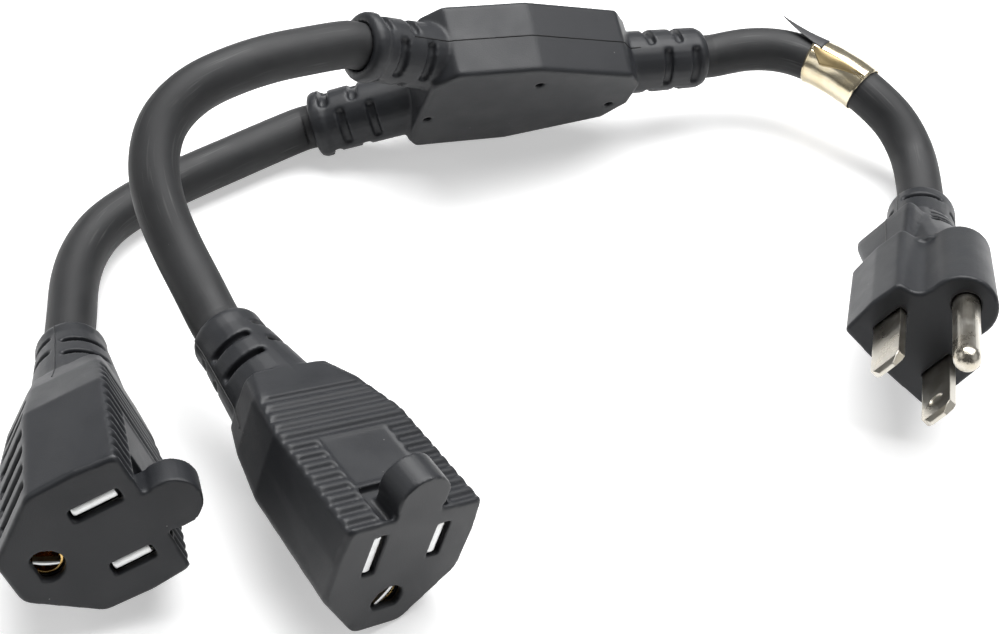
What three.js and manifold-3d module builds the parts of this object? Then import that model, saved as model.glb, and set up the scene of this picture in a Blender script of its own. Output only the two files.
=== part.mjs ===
// A grounded power cord splitter: one three-pin plug, a moulded junction and two sockets on short round cords.
import * as THREE from "three";
import { mergeVertices } from "three/addons/utils/BufferGeometryUtils.js";
import Module from "manifold-3d";

const wasm = await Module();
wasm.setup();

// Driving dimensions, in millimetres
const cordDiameter = 9.4;
const seatGap = 0.2;
const wireDiameter = 2.3;
const wireOffset = 1.9;
const cordSteps = 26;

const bladePitch = 12.7;
const groundOffset = 11.9;

// Plug
const bladeWidth = 6.35;
const bladeThickness = 1.52;
const bladeLength = 17.6;
const pinDiameter = 4.78;
const pinLength = 21.4;
const plugHalfWidth = 11.2;
const plugFlatEdge = 7.3;
const plugShoulder = 6.4;
const plugLobeRadius = 6.4;
const plugLobeCentre = 10.9;
const plugBlockDepth = 24;
const plugGripHalfWidth = 9.7;
const plugGripEnd = 40;
const plugBootEnd = 56.8;
const plugBootRadius = 6.9;
const plugBootOffset = 0.5;
const plugCoreDepth = 12;

// Socket
const socketHalfWidth = 13.7;
const socketFlatEdge = 7.2;
const socketShoulder = 8.4;
const socketNoseHalf = 4.5;
const socketNoseTop = 18.6;
const socketKnee = 24;
const socketBodyEnd = 40;
const socketBootEnd = 59.5;
const socketBootOffset = 3.2;
const socketBootRoot = 9.0;
const socketBootTip = 6.6;
const socketFaceWall = 1.6;
const neutralSlotLength = 8.7;
const lineSlotLength = 7.6;
const bladeSlotWidth = 2.6;
const groundHoleRadius = 3.0;
const tabRadius = 4.9;
const tabCentre = 10.2;
const tabThickness = 6.2;
const ribPitch = 2.5;
const ribCount = 13;
const gripCount = 6;
const gripPitch = 5.0;
const gripWidth = 2.4;
const gripDepth = 2.4;

// Junction
const junctionLeft = 22.4;
const junctionRight = 25.4;
const junctionHalfWidth = 16.0;
const junctionLeftEndHalf = 11.8;
const junctionRightEndHalf = 9.6;
const junctionThickness = 16.2;
const junctionLeftBevel = 4.6;
const junctionRightBevel = 3.2;
const junctionBootLengths = { single: 18.8, near: 18.4, far: 22.2 };
const junctionBootRadius = 6.8;
const forkAngle = 23;
const forkOffset = 10.4;
const crimpLength = 12;
const crimpWidth = 5.8;
const crimpThickness = 2.4;
const wireLayer = 2.8;

// Boot slots
const slotWidth = 1.4;
const slotPitch = 5.4;
const slotFloor = cordDiameter / 2 + 0.9;

const black = { color: 0x2b2d30, roughness: 0.62, metalness: 0 };
const darkCore = { color: 0x1d1e20, roughness: 0.7, metalness: 0 };
const nickel = { color: 0xbdb8ac, roughness: 0.3, metalness: 1 };
const brass = { color: 0xb58a45, roughness: 0.35, metalness: 1 };
const wireFinish = {
  ground: { ...black, color: 0x2f7d3a },
  line: black,
  neutral: { ...black, color: 0xd8d8d4 },
};
const foil = { color: 0xd9cba0, roughness: 0.3, metalness: 0.6 };

function materialOf(finish) {
  return new THREE.MeshStandardMaterial(finish);
}

// Closed three.js geometry to a solid, and back to a named mesh
function solidOf(geometry) {
  const bare = geometry.index ? geometry.clone() : geometry;
  bare.deleteAttribute("normal");
  bare.deleteAttribute("uv");
  const merged = mergeVertices(bare, 1e-4);
  return new wasm.Manifold(
    new wasm.Mesh({
      numProp: 3,
      vertProperties: new Float32Array(merged.attributes.position.array),
      triVerts: new Uint32Array(merged.index.array),
    }),
  );
}

function meshOf(solid, name, finish) {
  const data = solid.getMesh();
  const geometry = new THREE.BufferGeometry();
  const place = new Float32Array(data.numVert * 3);
  for (let i = 0; i < data.numVert; i++) {
    place.set(data.vertProperties.subarray(i * data.numProp, i * data.numProp + 3), i * 3);
  }
  geometry.setAttribute("position", new THREE.BufferAttribute(place, 3));
  geometry.setIndex(new THREE.BufferAttribute(new Uint32Array(data.triVerts), 1));
  geometry.computeVertexNormals();
  const mesh = new THREE.Mesh(geometry, materialOf(finish));
  mesh.name = name;
  return mesh;
}

function box(x0, x1, y0, y1, z0, z1) {
  const geometry = new THREE.BoxGeometry(x1 - x0, y1 - y0, z1 - z0);
  geometry.translate((x0 + x1) / 2, (y0 + y1) / 2, (z0 + z1) / 2);
  return solidOf(geometry);
}

// A cylinder or cone about a line parallel to Z
function round(radius0, radius1, x, y, z0, z1, sides = 24) {
  const geometry = new THREE.CylinderGeometry(radius1, radius0, z1 - z0, sides);
  geometry.rotateX(Math.PI / 2);
  geometry.translate(x, y, (z0 + z1) / 2);
  return solidOf(geometry);
}

function crossRod(radius, y, z, x0, x1, sides = 8) {
  const geometry = new THREE.CylinderGeometry(radius, radius, x1 - x0, sides);
  geometry.rotateZ(Math.PI / 2);
  geometry.translate((x0 + x1) / 2, y, z);
  return solidOf(geometry);
}

function prism(shape, z0, z1, curveSegments = 6) {
  const geometry = new THREE.ExtrudeGeometry(shape, {
    depth: z1 - z0,
    bevelEnabled: false,
    curveSegments,
  });
  geometry.translate(0, 0, z0);
  return solidOf(geometry);
}

function polygon(points) {
  return new THREE.Shape(points.map(([x, y]) => new THREE.Vector2(x, y)));
}

function unite(solids) {
  return solids.reduce((a, b) => a.add(b));
}

function cut(solid, cutters) {
  return cutters.length ? solid.subtract(unite(cutters)) : solid;
}

function placed(solid, matrix) {
  return solid.transform(matrix.elements);
}

// Corner points [x, y, radius] of a convex outline, rounded with a fixed number of steps each
function roundedLoop(corners, steps = 3) {
  const loop = [];
  corners.forEach(([x, y, radius], i) => {
    const here = new THREE.Vector2(x, y);
    const before = corners[(i + corners.length - 1) % corners.length];
    const after = corners[(i + 1) % corners.length];
    const toBefore = new THREE.Vector2(before[0], before[1]).sub(here).normalize();
    const toAfter = new THREE.Vector2(after[0], after[1]).sub(here).normalize();
    const half = Math.acos(THREE.MathUtils.clamp(toBefore.dot(toAfter), -1, 1)) / 2;
    const run = radius / Math.tan(half);
    const start = here.clone().addScaledVector(toBefore, run);
    const end = here.clone().addScaledVector(toAfter, run);
    const curve = new THREE.QuadraticBezierCurve(start, here, end);
    loop.push(...curve.getPoints(steps));
  });
  return loop;
}

// A closed loft through loops of equal length, each at its own height
function loft(sections) {
  const count = sections[0].loop.length;
  const place = [];
  const faces = [];
  sections.forEach(({ loop, z }) => {
    loop.forEach((p) => place.push(p.x, p.y, z));
  });
  for (let s = 0; s + 1 < sections.length; s++) {
    for (let i = 0; i < count; i++) {
      const a = s * count + i;
      const b = s * count + ((i + 1) % count);
      faces.push(a, b, b + count, a, b + count, a + count);
    }
  }
  [0, sections.length - 1].forEach((s) => {
    const { loop, z } = sections[s];
    const centre = place.length / 3;
    const mean = loop.reduce((m, p) => m.add(p), new THREE.Vector2()).divideScalar(count);
    place.push(mean.x, mean.y, z);
    for (let i = 0; i < count; i++) {
      const a = s * count + i;
      const b = s * count + ((i + 1) % count);
      faces.push(...(s === 0 ? [centre, b, a] : [centre, a, b]));
    }
  });
  const geometry = new THREE.BufferGeometry();
  geometry.setAttribute("position", new THREE.Float32BufferAttribute(place, 3));
  geometry.setIndex(faces);
  return solidOf(geometry);
}

// A sector of a ring, used to cut one flex slot
function ringSector(inner, outer, startDegrees, endDegrees, z0, z1) {
  const start = THREE.MathUtils.degToRad(startDegrees);
  const end = THREE.MathUtils.degToRad(endDegrees);
  const shape = new THREE.Shape();
  shape.absarc(0, 0, outer, start, end, false);
  shape.absarc(0, 0, inner, end, start, true);
  shape.closePath();
  return prism(shape, z0, z1, 7);
}

// Four quarter rows of flex slots about +Z, neighbours half a pitch apart
function flexSlots({ first, rows, pitch, width, floor, reach, turn = 0, gap = 9 }) {
  const cutters = [];
  for (let quarter = 0; quarter < 4; quarter++) {
    const shift = quarter % 2 ? pitch / 2 : 0;
    for (let row = 0; row < rows; row++) {
      const z = first + row * pitch + shift;
      const start = turn + quarter * 90 + gap;
      cutters.push(ringSector(floor, reach, start, start + 90 - 2 * gap, z, z + width));
    }
  }
  return cutters;
}

// A boot about +Z from z = 0, with a rounded lip at its far end
function bootSolid({ length, rootRadius, tipRadius, lip = 0, lipLength = 4, round: edge = 1.6 }) {
  const profile = [
    [0, 0],
    [rootRadius, 0],
    [tipRadius, length - lipLength],
  ];
  if (lip > 0) {
    profile.push([tipRadius + lip, length - lipLength + 0.8]);
  }
  profile.push([tipRadius + lip, length - edge]);
  profile.push([tipRadius + lip - edge * 0.3, length - edge * 0.3]);
  profile.push([tipRadius + lip - edge, length]);
  profile.push([0, length]);
  const geometry = new THREE.LatheGeometry(
    profile.map(([r, z]) => new THREE.Vector2(r, z)),
    28,
  );
  geometry.rotateX(Math.PI / 2);
  return solidOf(geometry);
}

function alongZ(x, y, z, direction) {
  const turn = new THREE.Quaternion().setFromUnitVectors(
    new THREE.Vector3(0, 0, 1),
    direction.clone().normalize(),
  );
  return new THREE.Matrix4().compose(new THREE.Vector3(x, y, z), turn, new THREE.Vector3(1, 1, 1));
}

function curveThrough(points) {
  return new THREE.CatmullRomCurve3(
    points.map((p) => new THREE.Vector3(...p)),
    false,
    "centripetal",
  );
}

function tubeAlong(curve, diameter, sides, steps) {
  const section = new THREE.Shape(circleLoop(0, 0, diameter / 2, sides));
  return solidOf(new THREE.ExtrudeGeometry(section, { steps, bevelEnabled: false, extrudePath: curve }));
}

function tube(points, diameter, sides, steps) {
  return tubeAlong(curveThrough(points), diameter, sides, steps);
}

const boreRadius = cordDiameter / 2 + seatGap;

// The space where the three wires spread from the cord to the contacts
function wireChamber({ low, high }) {
  const edge = 1.2;
  return loft([
    {
      z: low.z,
      loop: roundedLoop([
        [-low.half, low.y - low.half * 0.7, edge],
        [low.half, low.y - low.half * 0.7, edge],
        [low.half, low.y + low.half * 0.5, edge],
        [low.half * 0.4, low.y + low.half, edge * 0.5],
        [-low.half * 0.4, low.y + low.half, edge * 0.5],
        [-low.half, low.y + low.half * 0.5, edge],
      ]),
    },
    {
      z: high.z,
      loop: roundedLoop([
        [-high.half, -high.flat, edge],
        [high.half, -high.flat, edge],
        [high.half, high.shoulder, edge],
        [2.4, high.top, edge],
        [-2.4, high.top, edge],
        [-high.half, high.shoulder, edge],
      ]),
    },
  ]);
}

// Three wires side by side in the cord, at a third of a turn each
function wirePlace(index) {
  const angle = THREE.MathUtils.degToRad(90 + index * 120);
  return [Math.cos(angle) * wireOffset, Math.sin(angle) * wireOffset];
}

// Socket: face at z = 0, cord leaves towards -Z, +X to the long neutral slot, +Y to the ground hole
function socketOutline({ half, flat, shoulder, nose, top, bow = 0.7, corner = 1.2 }, inset = 0) {
  const h = half - inset;
  const f = flat - inset;
  return roundedLoop([
    [-h + bow, -f, corner],
    [h - bow, -f, corner],
    [h, 0, 2.5],
    [h - bow / 2, shoulder, 2.5],
    [nose, top - inset, 2.6],
    [-nose, top - inset, 2.6],
    [-h + bow / 2, shoulder, 2.5],
    [-h, 0, 2.5],
  ]);
}

const socketSections = [
  { z: -socketBodyEnd, half: 8.6, flat: 5.2, shoulder: 7.0, nose: 3.6, top: 12.8, bow: 0, corner: 3.2 },
  { z: -socketBodyEnd + 6, half: 10.6, flat: 6.2, shoulder: 7.4, nose: 3.8, top: 15.6, bow: 0, corner: 2.2 },
  {
    z: -socketKnee,
    half: socketHalfWidth - 0.9,
    flat: socketFlatEdge - 0.1,
    shoulder: socketShoulder - 0.6,
    nose: socketNoseHalf,
    top: socketNoseTop - 1.4,
    bow: 0.1,
    corner: 1.4,
  },
  {
    z: -0.6,
    half: socketHalfWidth,
    flat: socketFlatEdge,
    shoulder: socketShoulder,
    nose: socketNoseHalf,
    top: socketNoseTop,
    bow: 0.7,
    corner: 1.2,
  },
];

// A size of the socket body at a height, between its sections
function socketSizeAt(z, key) {
  for (let i = 0; i + 1 < socketSections.length; i++) {
    const low = socketSections[i];
    const high = socketSections[i + 1];
    if (z <= high.z || i + 2 === socketSections.length) {
      const share = THREE.MathUtils.clamp((z - low.z) / (high.z - low.z), 0, 1);
      return low[key] + (high[key] - low[key]) * share;
    }
  }
  return socketSections[0][key];
}

const socketCordEnd = 4 - socketBodyEnd;

// The contact carrier's outline, which its pocket in the body follows with a clearance
const carrier = {
  half: socketHalfWidth - 3.4,
  flat: socketFlatEdge - 2.4,
  shoulder: 5.9,
  noseHalf: 2.2,
  top: 15.2,
  front: -socketFaceWall - seatGap,
  depth: 22,
};

function carrierShape(clearance) {
  const c = clearance;
  return polygon([
    [-carrier.half - c, -carrier.flat - c],
    [carrier.half + c, -carrier.flat - c],
    [carrier.half + c, carrier.shoulder + c * 0.5],
    [carrier.noseHalf + c * 0.6, carrier.top + c],
    [-carrier.noseHalf - c * 0.6, carrier.top + c],
    [-carrier.half - c, carrier.shoulder + c * 0.5],
  ]);
}

const labelPanel = { half: 6.7, from: -20.4, to: -9.0, depth: 0.35 };
const tabRecess = { half: 6.6, from: -8.4, depth: 1.3 };

function socketGrips() {
  const cutters = [];
  for (let i = 0; i < gripCount; i++) {
    const z = -3.6 - i * gripPitch;
    const half = socketSizeAt(z, "half");
    const shoulder = socketSizeAt(z, "shoulder");
    const top = socketSizeAt(z, "top");
    const nose = socketSizeAt(z, "nose");
    const along = new THREE.Vector2(nose - half, top - shoulder);
    const length = along.length();
    const angle = Math.atan2(along.y, along.x);
    [1, -1].forEach((side) => {
      const geometry = new THREE.BoxGeometry(length * 0.74, gripDepth + 4, gripWidth);
      geometry.translate(length * 0.44, -(4 - gripDepth) / 2, 0);
      geometry.rotateZ(angle);
      geometry.translate(half, shoulder, z - gripWidth / 2);
      if (side < 0) {
        geometry.rotateY(Math.PI);
        geometry.translate(0, 0, 2 * z - gripWidth);
      }
      cutters.push(solidOf(geometry));
    });
  }
  return cutters;
}

function socketRibs() {
  const cutters = [];
  const radius = 0.95;
  for (let i = 0; i < ribCount; i++) {
    const z = -1.7 - i * ribPitch;
    const y = -socketSizeAt(z, "flat") - 0.3;
    const reach = socketHalfWidth + 2;
    if (z < labelPanel.from) {
      cutters.push(crossRod(radius, y, z, -reach, reach));
    } else {
      cutters.push(crossRod(radius, y, z, -reach, -labelPanel.half - 0.2));
      cutters.push(crossRod(radius, y, z, labelPanel.half + 0.2, reach));
    }
  }
  return cutters;
}

function groundHoleShape(radius) {
  const shape = new THREE.Shape();
  const flat = radius * 0.62;
  const angle = Math.asin(flat / radius);
  shape.absarc(0, 0, radius, Math.PI - angle, 2 * Math.PI + angle, false);
  shape.closePath();
  return shape;
}

function socketBody() {
  const sections = socketSections.map((size) => ({ z: size.z, loop: socketOutline(size) }));
  sections.push({ z: 0, loop: socketOutline(socketSections.at(-1), 0.45) });
  const shell = loft(sections);
  const bootLength = socketBootEnd - socketBodyEnd + 4;
  const bootPlace = alongZ(0, socketBootOffset, 4 - socketBodyEnd, new THREE.Vector3(0, 0, -1));
  const boot = bootSolid({ length: bootLength, rootRadius: socketBootRoot, tipRadius: socketBootTip });
  const tab = round(tabRadius, tabRadius, 0, -tabCentre, -tabThickness, 0, 28);
  const tabNeck = box(-tabRadius + 0.5, tabRadius - 0.5, -tabCentre, -socketFlatEdge + 2, -tabThickness, 0);
  const outside = unite([shell, placed(boot, bootPlace)]);
  const recess = box(
    -tabRecess.half,
    tabRecess.half,
    -socketFlatEdge - 2,
    -socketFlatEdge + tabRecess.depth,
    tabRecess.from,
    1,
  );
  const panel = box(
    -labelPanel.half,
    labelPanel.half,
    -socketFlatEdge - 2,
    -socketFlatEdge + labelPanel.depth,
    labelPanel.from,
    labelPanel.to,
  );
  const frontLedge = box(-tabRecess.half - 1, tabRecess.half + 1, -socketFlatEdge, -4, -0.9, -0.01);
  const outer = unite([
    cut(outside, [...socketRibs(), ...socketGrips(), recess, panel]),
    tab,
    tabNeck,
    frontLedge,
  ]);
  const slots = flexSlots({
    first: 0,
    rows: 2,
    pitch: slotPitch,
    width: slotWidth,
    floor: slotFloor,
    reach: 14,
  }).map((s) =>
    placed(s, alongZ(0, socketBootOffset, -socketBootEnd + 14.2, new THREE.Vector3(0, 0, -1))),
  );
  const carrierBack = carrier.front - carrier.depth - seatGap;
  const pocket = prism(carrierShape(seatGap), carrierBack, carrier.front + seatGap);
  const wireWay = wireChamber({
    low: { z: socketCordEnd - 0.5, y: socketBootOffset, half: 4.4 },
    high: { z: carrierBack + 0.1, half: carrier.half - 1, flat: 3.6, shoulder: 4.6, top: 14.4 },
  });
  const bore = round(boreRadius, boreRadius, 0, socketBootOffset, -socketBootEnd - 1, socketCordEnd + 0.5);
  const half = bladePitch / 2;
  const w = bladeSlotWidth / 2;
  const neutralSlot = box(half - w, half + w, -neutralSlotLength / 2, neutralSlotLength / 2, -4, 1);
  const lineSlot = box(-half - w, -half + w, -lineSlotLength / 2, lineSlotLength / 2, -4, 1);
  const groundHole = prism(groundHoleShape(groundHoleRadius), -4, 1).translate([0, groundOffset, 0]);
  return cut(outer, [...slots, pocket, wireWay, bore, neutralSlot, lineSlot, groundHole]);
}

// Blade contact: two leaves on a bridge with a crimp tail, in a pocket of the carrier
const leafThickness = 0.8;
const leafGap = 1.0;
const leafWidth = 6.6;
const leafDepth = 13;
const tailDiameter = 3.4;
const sleeveOuter = 2.75;
const sleeveInner = 2.3;
const sleeveDepth = 14;

function contactPocketHalf() {
  return leafGap / 2 + leafThickness;
}

function socketCarrier() {
  const block = prism(carrierShape(0), carrier.front - carrier.depth, carrier.front);
  const half = bladePitch / 2;
  const side = contactPocketHalf() + seatGap;
  const wide = leafWidth / 2 + seatGap;
  const cutters = [half, -half].flatMap((x) => [
    box(x - side, x + side, -wide, wide, carrier.front - leafDepth - 2, carrier.front + 1),
    round(tailDiameter / 2 + seatGap, tailDiameter / 2 + seatGap, x, 0, carrier.front - carrier.depth - 1,
      carrier.front - leafDepth, 14),
  ]);
  cutters.push(
    round(sleeveOuter + seatGap, sleeveOuter + seatGap, 0, groundOffset,
      carrier.front - sleeveDepth - seatGap, carrier.front + 1, 24),
  );
  cutters.push(
    round(tailDiameter / 2 + seatGap, tailDiameter / 2 + seatGap, 0, groundOffset,
      carrier.front - carrier.depth - 1, carrier.front - sleeveDepth, 14),
  );
  return cut(block, cutters);
}

function bladeContact(x) {
  const inner = leafGap / 2;
  const outer = inner + leafThickness;
  const back = carrier.front - leafDepth;
  const leaf = (side) =>
    box(
      Math.min(side * inner, side * outer) + x,
      Math.max(side * inner, side * outer) + x,
      -leafWidth / 2,
      leafWidth / 2,
      back,
      carrier.front,
    );
  const bridge = box(x - outer, x + outer, -leafWidth / 2, leafWidth / 2, back - 1.2, back + 0.01);
  const tail = round(tailDiameter / 2, tailDiameter / 2, x, 0, carrier.front - carrier.depth + 1, back - 1, 14);
  return unite([leaf(1), leaf(-1), bridge, tail]);
}

function groundContact() {
  const back = carrier.front - sleeveDepth;
  const sleeve = round(sleeveOuter, sleeveOuter, 0, groundOffset, back, carrier.front, 24);
  const hollow = round(sleeveInner, sleeveInner, 0, groundOffset, back + 1, carrier.front + 1, 24);
  const slit = box(-0.45, 0.45, groundOffset + 0.5, groundOffset + 4, back + 1, carrier.front + 1);
  const tail = round(tailDiameter / 2, tailDiameter / 2, 0, groundOffset, carrier.front - carrier.depth + 1,
    back + 0.5, 14);
  return unite([cut(sleeve, [hollow, slit]), tail]);
}

function socketWire(index) {
  const tails = [
    [0, groundOffset],
    [bladePitch / 2, 0],
    [-bladePitch / 2, 0],
  ];
  const order = [0, 2, 1];
  const [tx, ty] = tails[order[index]];
  const [wx, wy] = wirePlace(index);
  const from = carrier.front - carrier.depth + 1 - 0.3;
  const to = socketCordEnd + 0.3;
  const y = wy + socketBootOffset;
  return tube(
    [
      [tx, ty, from],
      [tx, ty, from - 1.5],
      [tx + (wx - tx) * 0.45, ty + (y - ty) * 0.45, from - 4.6],
      [wx, y, to + 2.2],
      [wx, y, to],
    ],
    wireDiameter,
    8,
    9,
  );
}

function socket(label) {
  const group = new THREE.Group();
  const half = bladePitch / 2;
  group.add(meshOf(socketBody(), `${label}_body`, black));
  group.add(meshOf(socketCarrier(), `${label}_contact_carrier`, darkCore));
  group.add(meshOf(bladeContact(half), `${label}_neutral_contact`, nickel));
  group.add(meshOf(bladeContact(-half), `${label}_line_contact`, nickel));
  group.add(meshOf(groundContact(), `${label}_ground_contact`, brass));
  group.add(meshOf(socketWire(0), `${label}_ground_wire`, wireFinish.ground));
  group.add(meshOf(socketWire(1), `${label}_line_wire`, wireFinish.line));
  group.add(meshOf(socketWire(2), `${label}_neutral_wire`, wireFinish.neutral));
  return group;
}

// Plug: face at z = 0, blades towards +Z, +X to the line blade, +Y to the ground pin
function plugOutline({ half, lobe, centre }, inset = 0) {
  const h = half - inset;
  const flat = plugFlatEdge - inset;
  const shoulder = plugShoulder - inset;
  const r = lobe - inset;
  const waist = r + 0.35;
  const path = new THREE.Path();
  path.moveTo(0, -flat - 0.4);
  path.lineTo(h - 1.9, -flat);
  path.quadraticCurveTo(h - 0.8, -flat, h - 0.7, -flat + 1);
  path.lineTo(h, 0);
  path.lineTo(h - 0.2, shoulder - 1.4);
  path.quadraticCurveTo(h - 0.3, shoulder, h - 1.7, shoulder + 0.1);
  path.quadraticCurveTo(waist, shoulder + 0.6, waist - 0.2, shoulder + 2.6);
  path.absarc(0, centre, r, Math.asin((shoulder + 3.6 - centre) / r), Math.PI / 2, false);
  const right = path.getPoints(5);
  const left = right.slice(1, -1).map((p) => new THREE.Vector2(-p.x, p.y));
  return [...right, ...left.reverse()];
}

const plugFront = { half: plugHalfWidth, lobe: plugLobeRadius, centre: plugLobeCentre };
const plugRear = { half: plugHalfWidth - 0.1, lobe: plugLobeRadius - 0.5, centre: plugLobeCentre - 0.7 };

const plugCore = { half: 9.0, flat: 5.4, shoulder: 4.6, stem: 3.6, top: 15.4, front: -2.0 };

function plugCoreShape(c) {
  const { half, flat, shoulder, stem, top } = plugCore;
  return polygon([
    [-half - c, -flat - c],
    [half + c, -flat - c],
    [half + c, shoulder + c],
    [stem + c, shoulder + c],
    [stem + c, top - 1.8],
    [stem - 1.4 + c, top + c],
    [-stem + 1.4 - c, top + c],
    [-stem - c, top - 1.8],
    [-stem - c, shoulder + c],
    [-half - c, shoulder + c],
  ]);
}

function bladeHole(x, c, z0, z1) {
  const t = bladeThickness / 2 + c;
  const w = bladeWidth / 2 + c;
  return box(x - t, x + t, -w, w, z0, z1);
}

const bladeCentre = bladePitch / 2;

// Finger grip behind the block, flared towards its back, and the neck that carries the boot
function plugGrip() {
  const h = plugGripHalfWidth;
  const end = -plugGripEnd;
  const frame = (half, low, high, radius) =>
    roundedLoop([
      [-half, -low, radius],
      [half, -low, radius],
      [half, high, radius],
      [-half, high, radius],
    ]);
  const wings = loft([
    { z: end, loop: frame(h - 2.4, 5.4, 4.6, 1.8) },
    { z: end + 0.8, loop: frame(h - 0.8, 7.0, 6.2, 1.6) },
    { z: end + 2.2, loop: frame(h, 7.7, 6.8, 1.4) },
    { z: end + 4.4, loop: frame(h, 7.6, 6.8, 1.4) },
    { z: end + 12, loop: frame(h - 0.4, 6.0, 6.2, 1.4) },
    { z: -plugBlockDepth + 2, loop: frame(h - 0.5, 5.6, 5.6, 1.4) },
  ]);
  const neck = loft([
    { z: -plugBootEnd + 12, loop: circleLoop(0, plugBootOffset, plugBootRadius) },
    { z: end, loop: circleLoop(0, plugBootOffset + 0.8, plugBootRadius + 0.6) },
    { z: -plugBlockDepth + 2, loop: circleLoop(0, 5.4, plugBootRadius + 0.9) },
  ]);
  return unite([wings, neck]);
}

function circleLoop(x, y, radius, count = 24) {
  const loop = [];
  for (let i = 0; i < count; i++) {
    const angle = (i / count) * 2 * Math.PI;
    loop.push(new THREE.Vector2(x + Math.cos(angle) * radius, y + Math.sin(angle) * radius));
  }
  return loop;
}

const plugCordEnd = -plugBootEnd + 18;

function plugBody() {
  const front = loft([
    { z: -plugBlockDepth, loop: plugOutline(plugRear, 0.6) },
    { z: -plugBlockDepth + 0.6, loop: plugOutline(plugRear) },
    { z: -0.3, loop: plugOutline(plugFront) },
    { z: 0, loop: plugOutline(plugFront, 0.3) },
  ]);
  const bootStart = -plugBootEnd + 15;
  const boot = bootSolid({
    length: 15,
    rootRadius: plugBootRadius,
    tipRadius: plugBootRadius,
    round: 2.2,
  });
  const place = alongZ(0, plugBootOffset, bootStart, new THREE.Vector3(0, 0, -1));
  const slots = flexSlots({
    first: 5.8,
    rows: 1,
    pitch: slotPitch,
    width: slotWidth,
    floor: slotFloor,
    reach: 12,
    turn: 90,
  }).map((s) => placed(s, place));
  const grips = [-44.7, -40.7, -37.7, -35.7].flatMap((z) =>
    [57, 97].map((start) =>
      ringSector(slotFloor + 0.5, 13, start, start + 26, z, z + slotWidth).translate([0, plugBootOffset, 0]),
    ),
  );
  const coreBack = plugCore.front - plugCoreDepth;
  const core = prism(plugCoreShape(seatGap), coreBack - seatGap, plugCore.front + seatGap);
  const wireWay = wireChamber({
    low: { z: plugCordEnd - 0.5, y: plugBootOffset, half: 4.4 },
    high: { z: coreBack - 0.1, half: bladeCentre + 2.05, flat: 3.4, shoulder: 3.0, top: 14.4 },
  });
  const bore = round(boreRadius, boreRadius, 0, plugBootOffset, -plugBootEnd - 1, plugCordEnd + 1);
  const outer = unite([front, plugGrip(), placed(boot, place)]);
  return cut(outer, [
    ...slots,
    ...grips,
    core,
    wireWay,
    bore,
    bladeHole(bladeCentre, seatGap, plugCore.front - 1, 1),
    bladeHole(-bladeCentre, seatGap, plugCore.front - 1, 1),
    round(pinDiameter / 2 + seatGap, pinDiameter / 2 + seatGap, 0, groundOffset, plugCore.front - 1, 1, 24),
  ]);
}

// What each pin holds out behind its carrier, for its wire
const bladeTail = { half: 1.5, length: 3.0 };
const pinTail = { radius: 1.2, length: 1.0 };
const plugCarrierBack = plugCore.front - plugCoreDepth;

function plugCoreBlock() {
  const back = plugCarrierBack;
  const block = prism(plugCoreShape(0), back, plugCore.front);
  const pin = pinDiameter / 2 + seatGap;
  return cut(block, [
    bladeHole(bladeCentre, seatGap, back - 1, 1),
    bladeHole(-bladeCentre, seatGap, back - 1, 1),
    round(pin, pin, 0, groundOffset, back - 1, 1, 24),
  ]);
}

// Blade of folded strip with a chamfered tip and a dimple on its outer face
function plugBlade(x) {
  const w = bladeWidth / 2;
  const tail = plugCarrierBack - bladeTail.length;
  const outline = polygon([
    [-bladeTail.half, tail],
    [bladeTail.half, tail],
    [bladeTail.half, plugCarrierBack + 1],
    [w, plugCarrierBack + 1],
    [w, bladeLength - 2.0],
    [w - 1.6, bladeLength],
    [-w + 1.6, bladeLength],
    [-w, bladeLength - 2.0],
    [-w, plugCarrierBack + 1],
    [-bladeTail.half, plugCarrierBack + 1],
  ]);
  const turn = new THREE.Matrix4().makeBasis(
    new THREE.Vector3(0, 1, 0),
    new THREE.Vector3(0, 0, 1),
    new THREE.Vector3(1, 0, 0),
  );
  const strip = placed(prism(outline, x - bladeThickness / 2, x + bladeThickness / 2), turn);
  const outward = Math.sign(x);
  const dimple = round(1.5, 1.5, 0, 0, -0.25, 0.25, 16);
  const face = x - outward * (bladeThickness / 2);
  const seat = alongZ(face, 0, bladeLength - 5.4, new THREE.Vector3(1, 0, 0));
  const tip = tipWedge(x);
  return cut(strip, [placed(dimple, seat), ...tip]);
}

// The point of a blade: both wide faces slope in over the last stretch
function tipWedge(x) {
  const t = bladeThickness / 2;
  const rise = 1.3;
  const inset = 0.4;
  return [1, -1].map((side) => {
    const corners = [
      [side * t, bladeLength - rise],
      [side * (t + 1), bladeLength - rise],
      [side * (t + 1), bladeLength + 1],
      [side * (t - inset), bladeLength + 1],
      [side * (t - inset), bladeLength],
    ];
    const turn = new THREE.Matrix4().makeBasis(
      new THREE.Vector3(1, 0, 0),
      new THREE.Vector3(0, 0, 1),
      new THREE.Vector3(0, -1, 0),
    );
    const wedge = prism(polygon(side > 0 ? corners : corners.reverse()), -bladeWidth, bladeWidth);
    return placed(wedge, turn).translate([x, 0, 0]);
  });
}

function groundPin() {
  const r = pinDiameter / 2;
  const tail = plugCarrierBack - pinTail.length;
  const profile = [
    [0, tail],
    [pinTail.radius, tail],
    [pinTail.radius, plugCarrierBack + 1],
    [r, plugCarrierBack + 1],
    [r, pinLength - r],
  ];
  for (let i = 1; i < 6; i++) {
    const angle = (i / 6) * (Math.PI / 2);
    profile.push([Math.cos(angle) * r, pinLength - r + Math.sin(angle) * r]);
  }
  profile.push([0, pinLength]);
  const geometry = new THREE.LatheGeometry(
    profile.map(([a, z]) => new THREE.Vector2(a, z)),
    28,
  );
  geometry.rotateX(Math.PI / 2);
  geometry.translate(0, groundOffset, 0);
  return solidOf(geometry);
}

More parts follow.
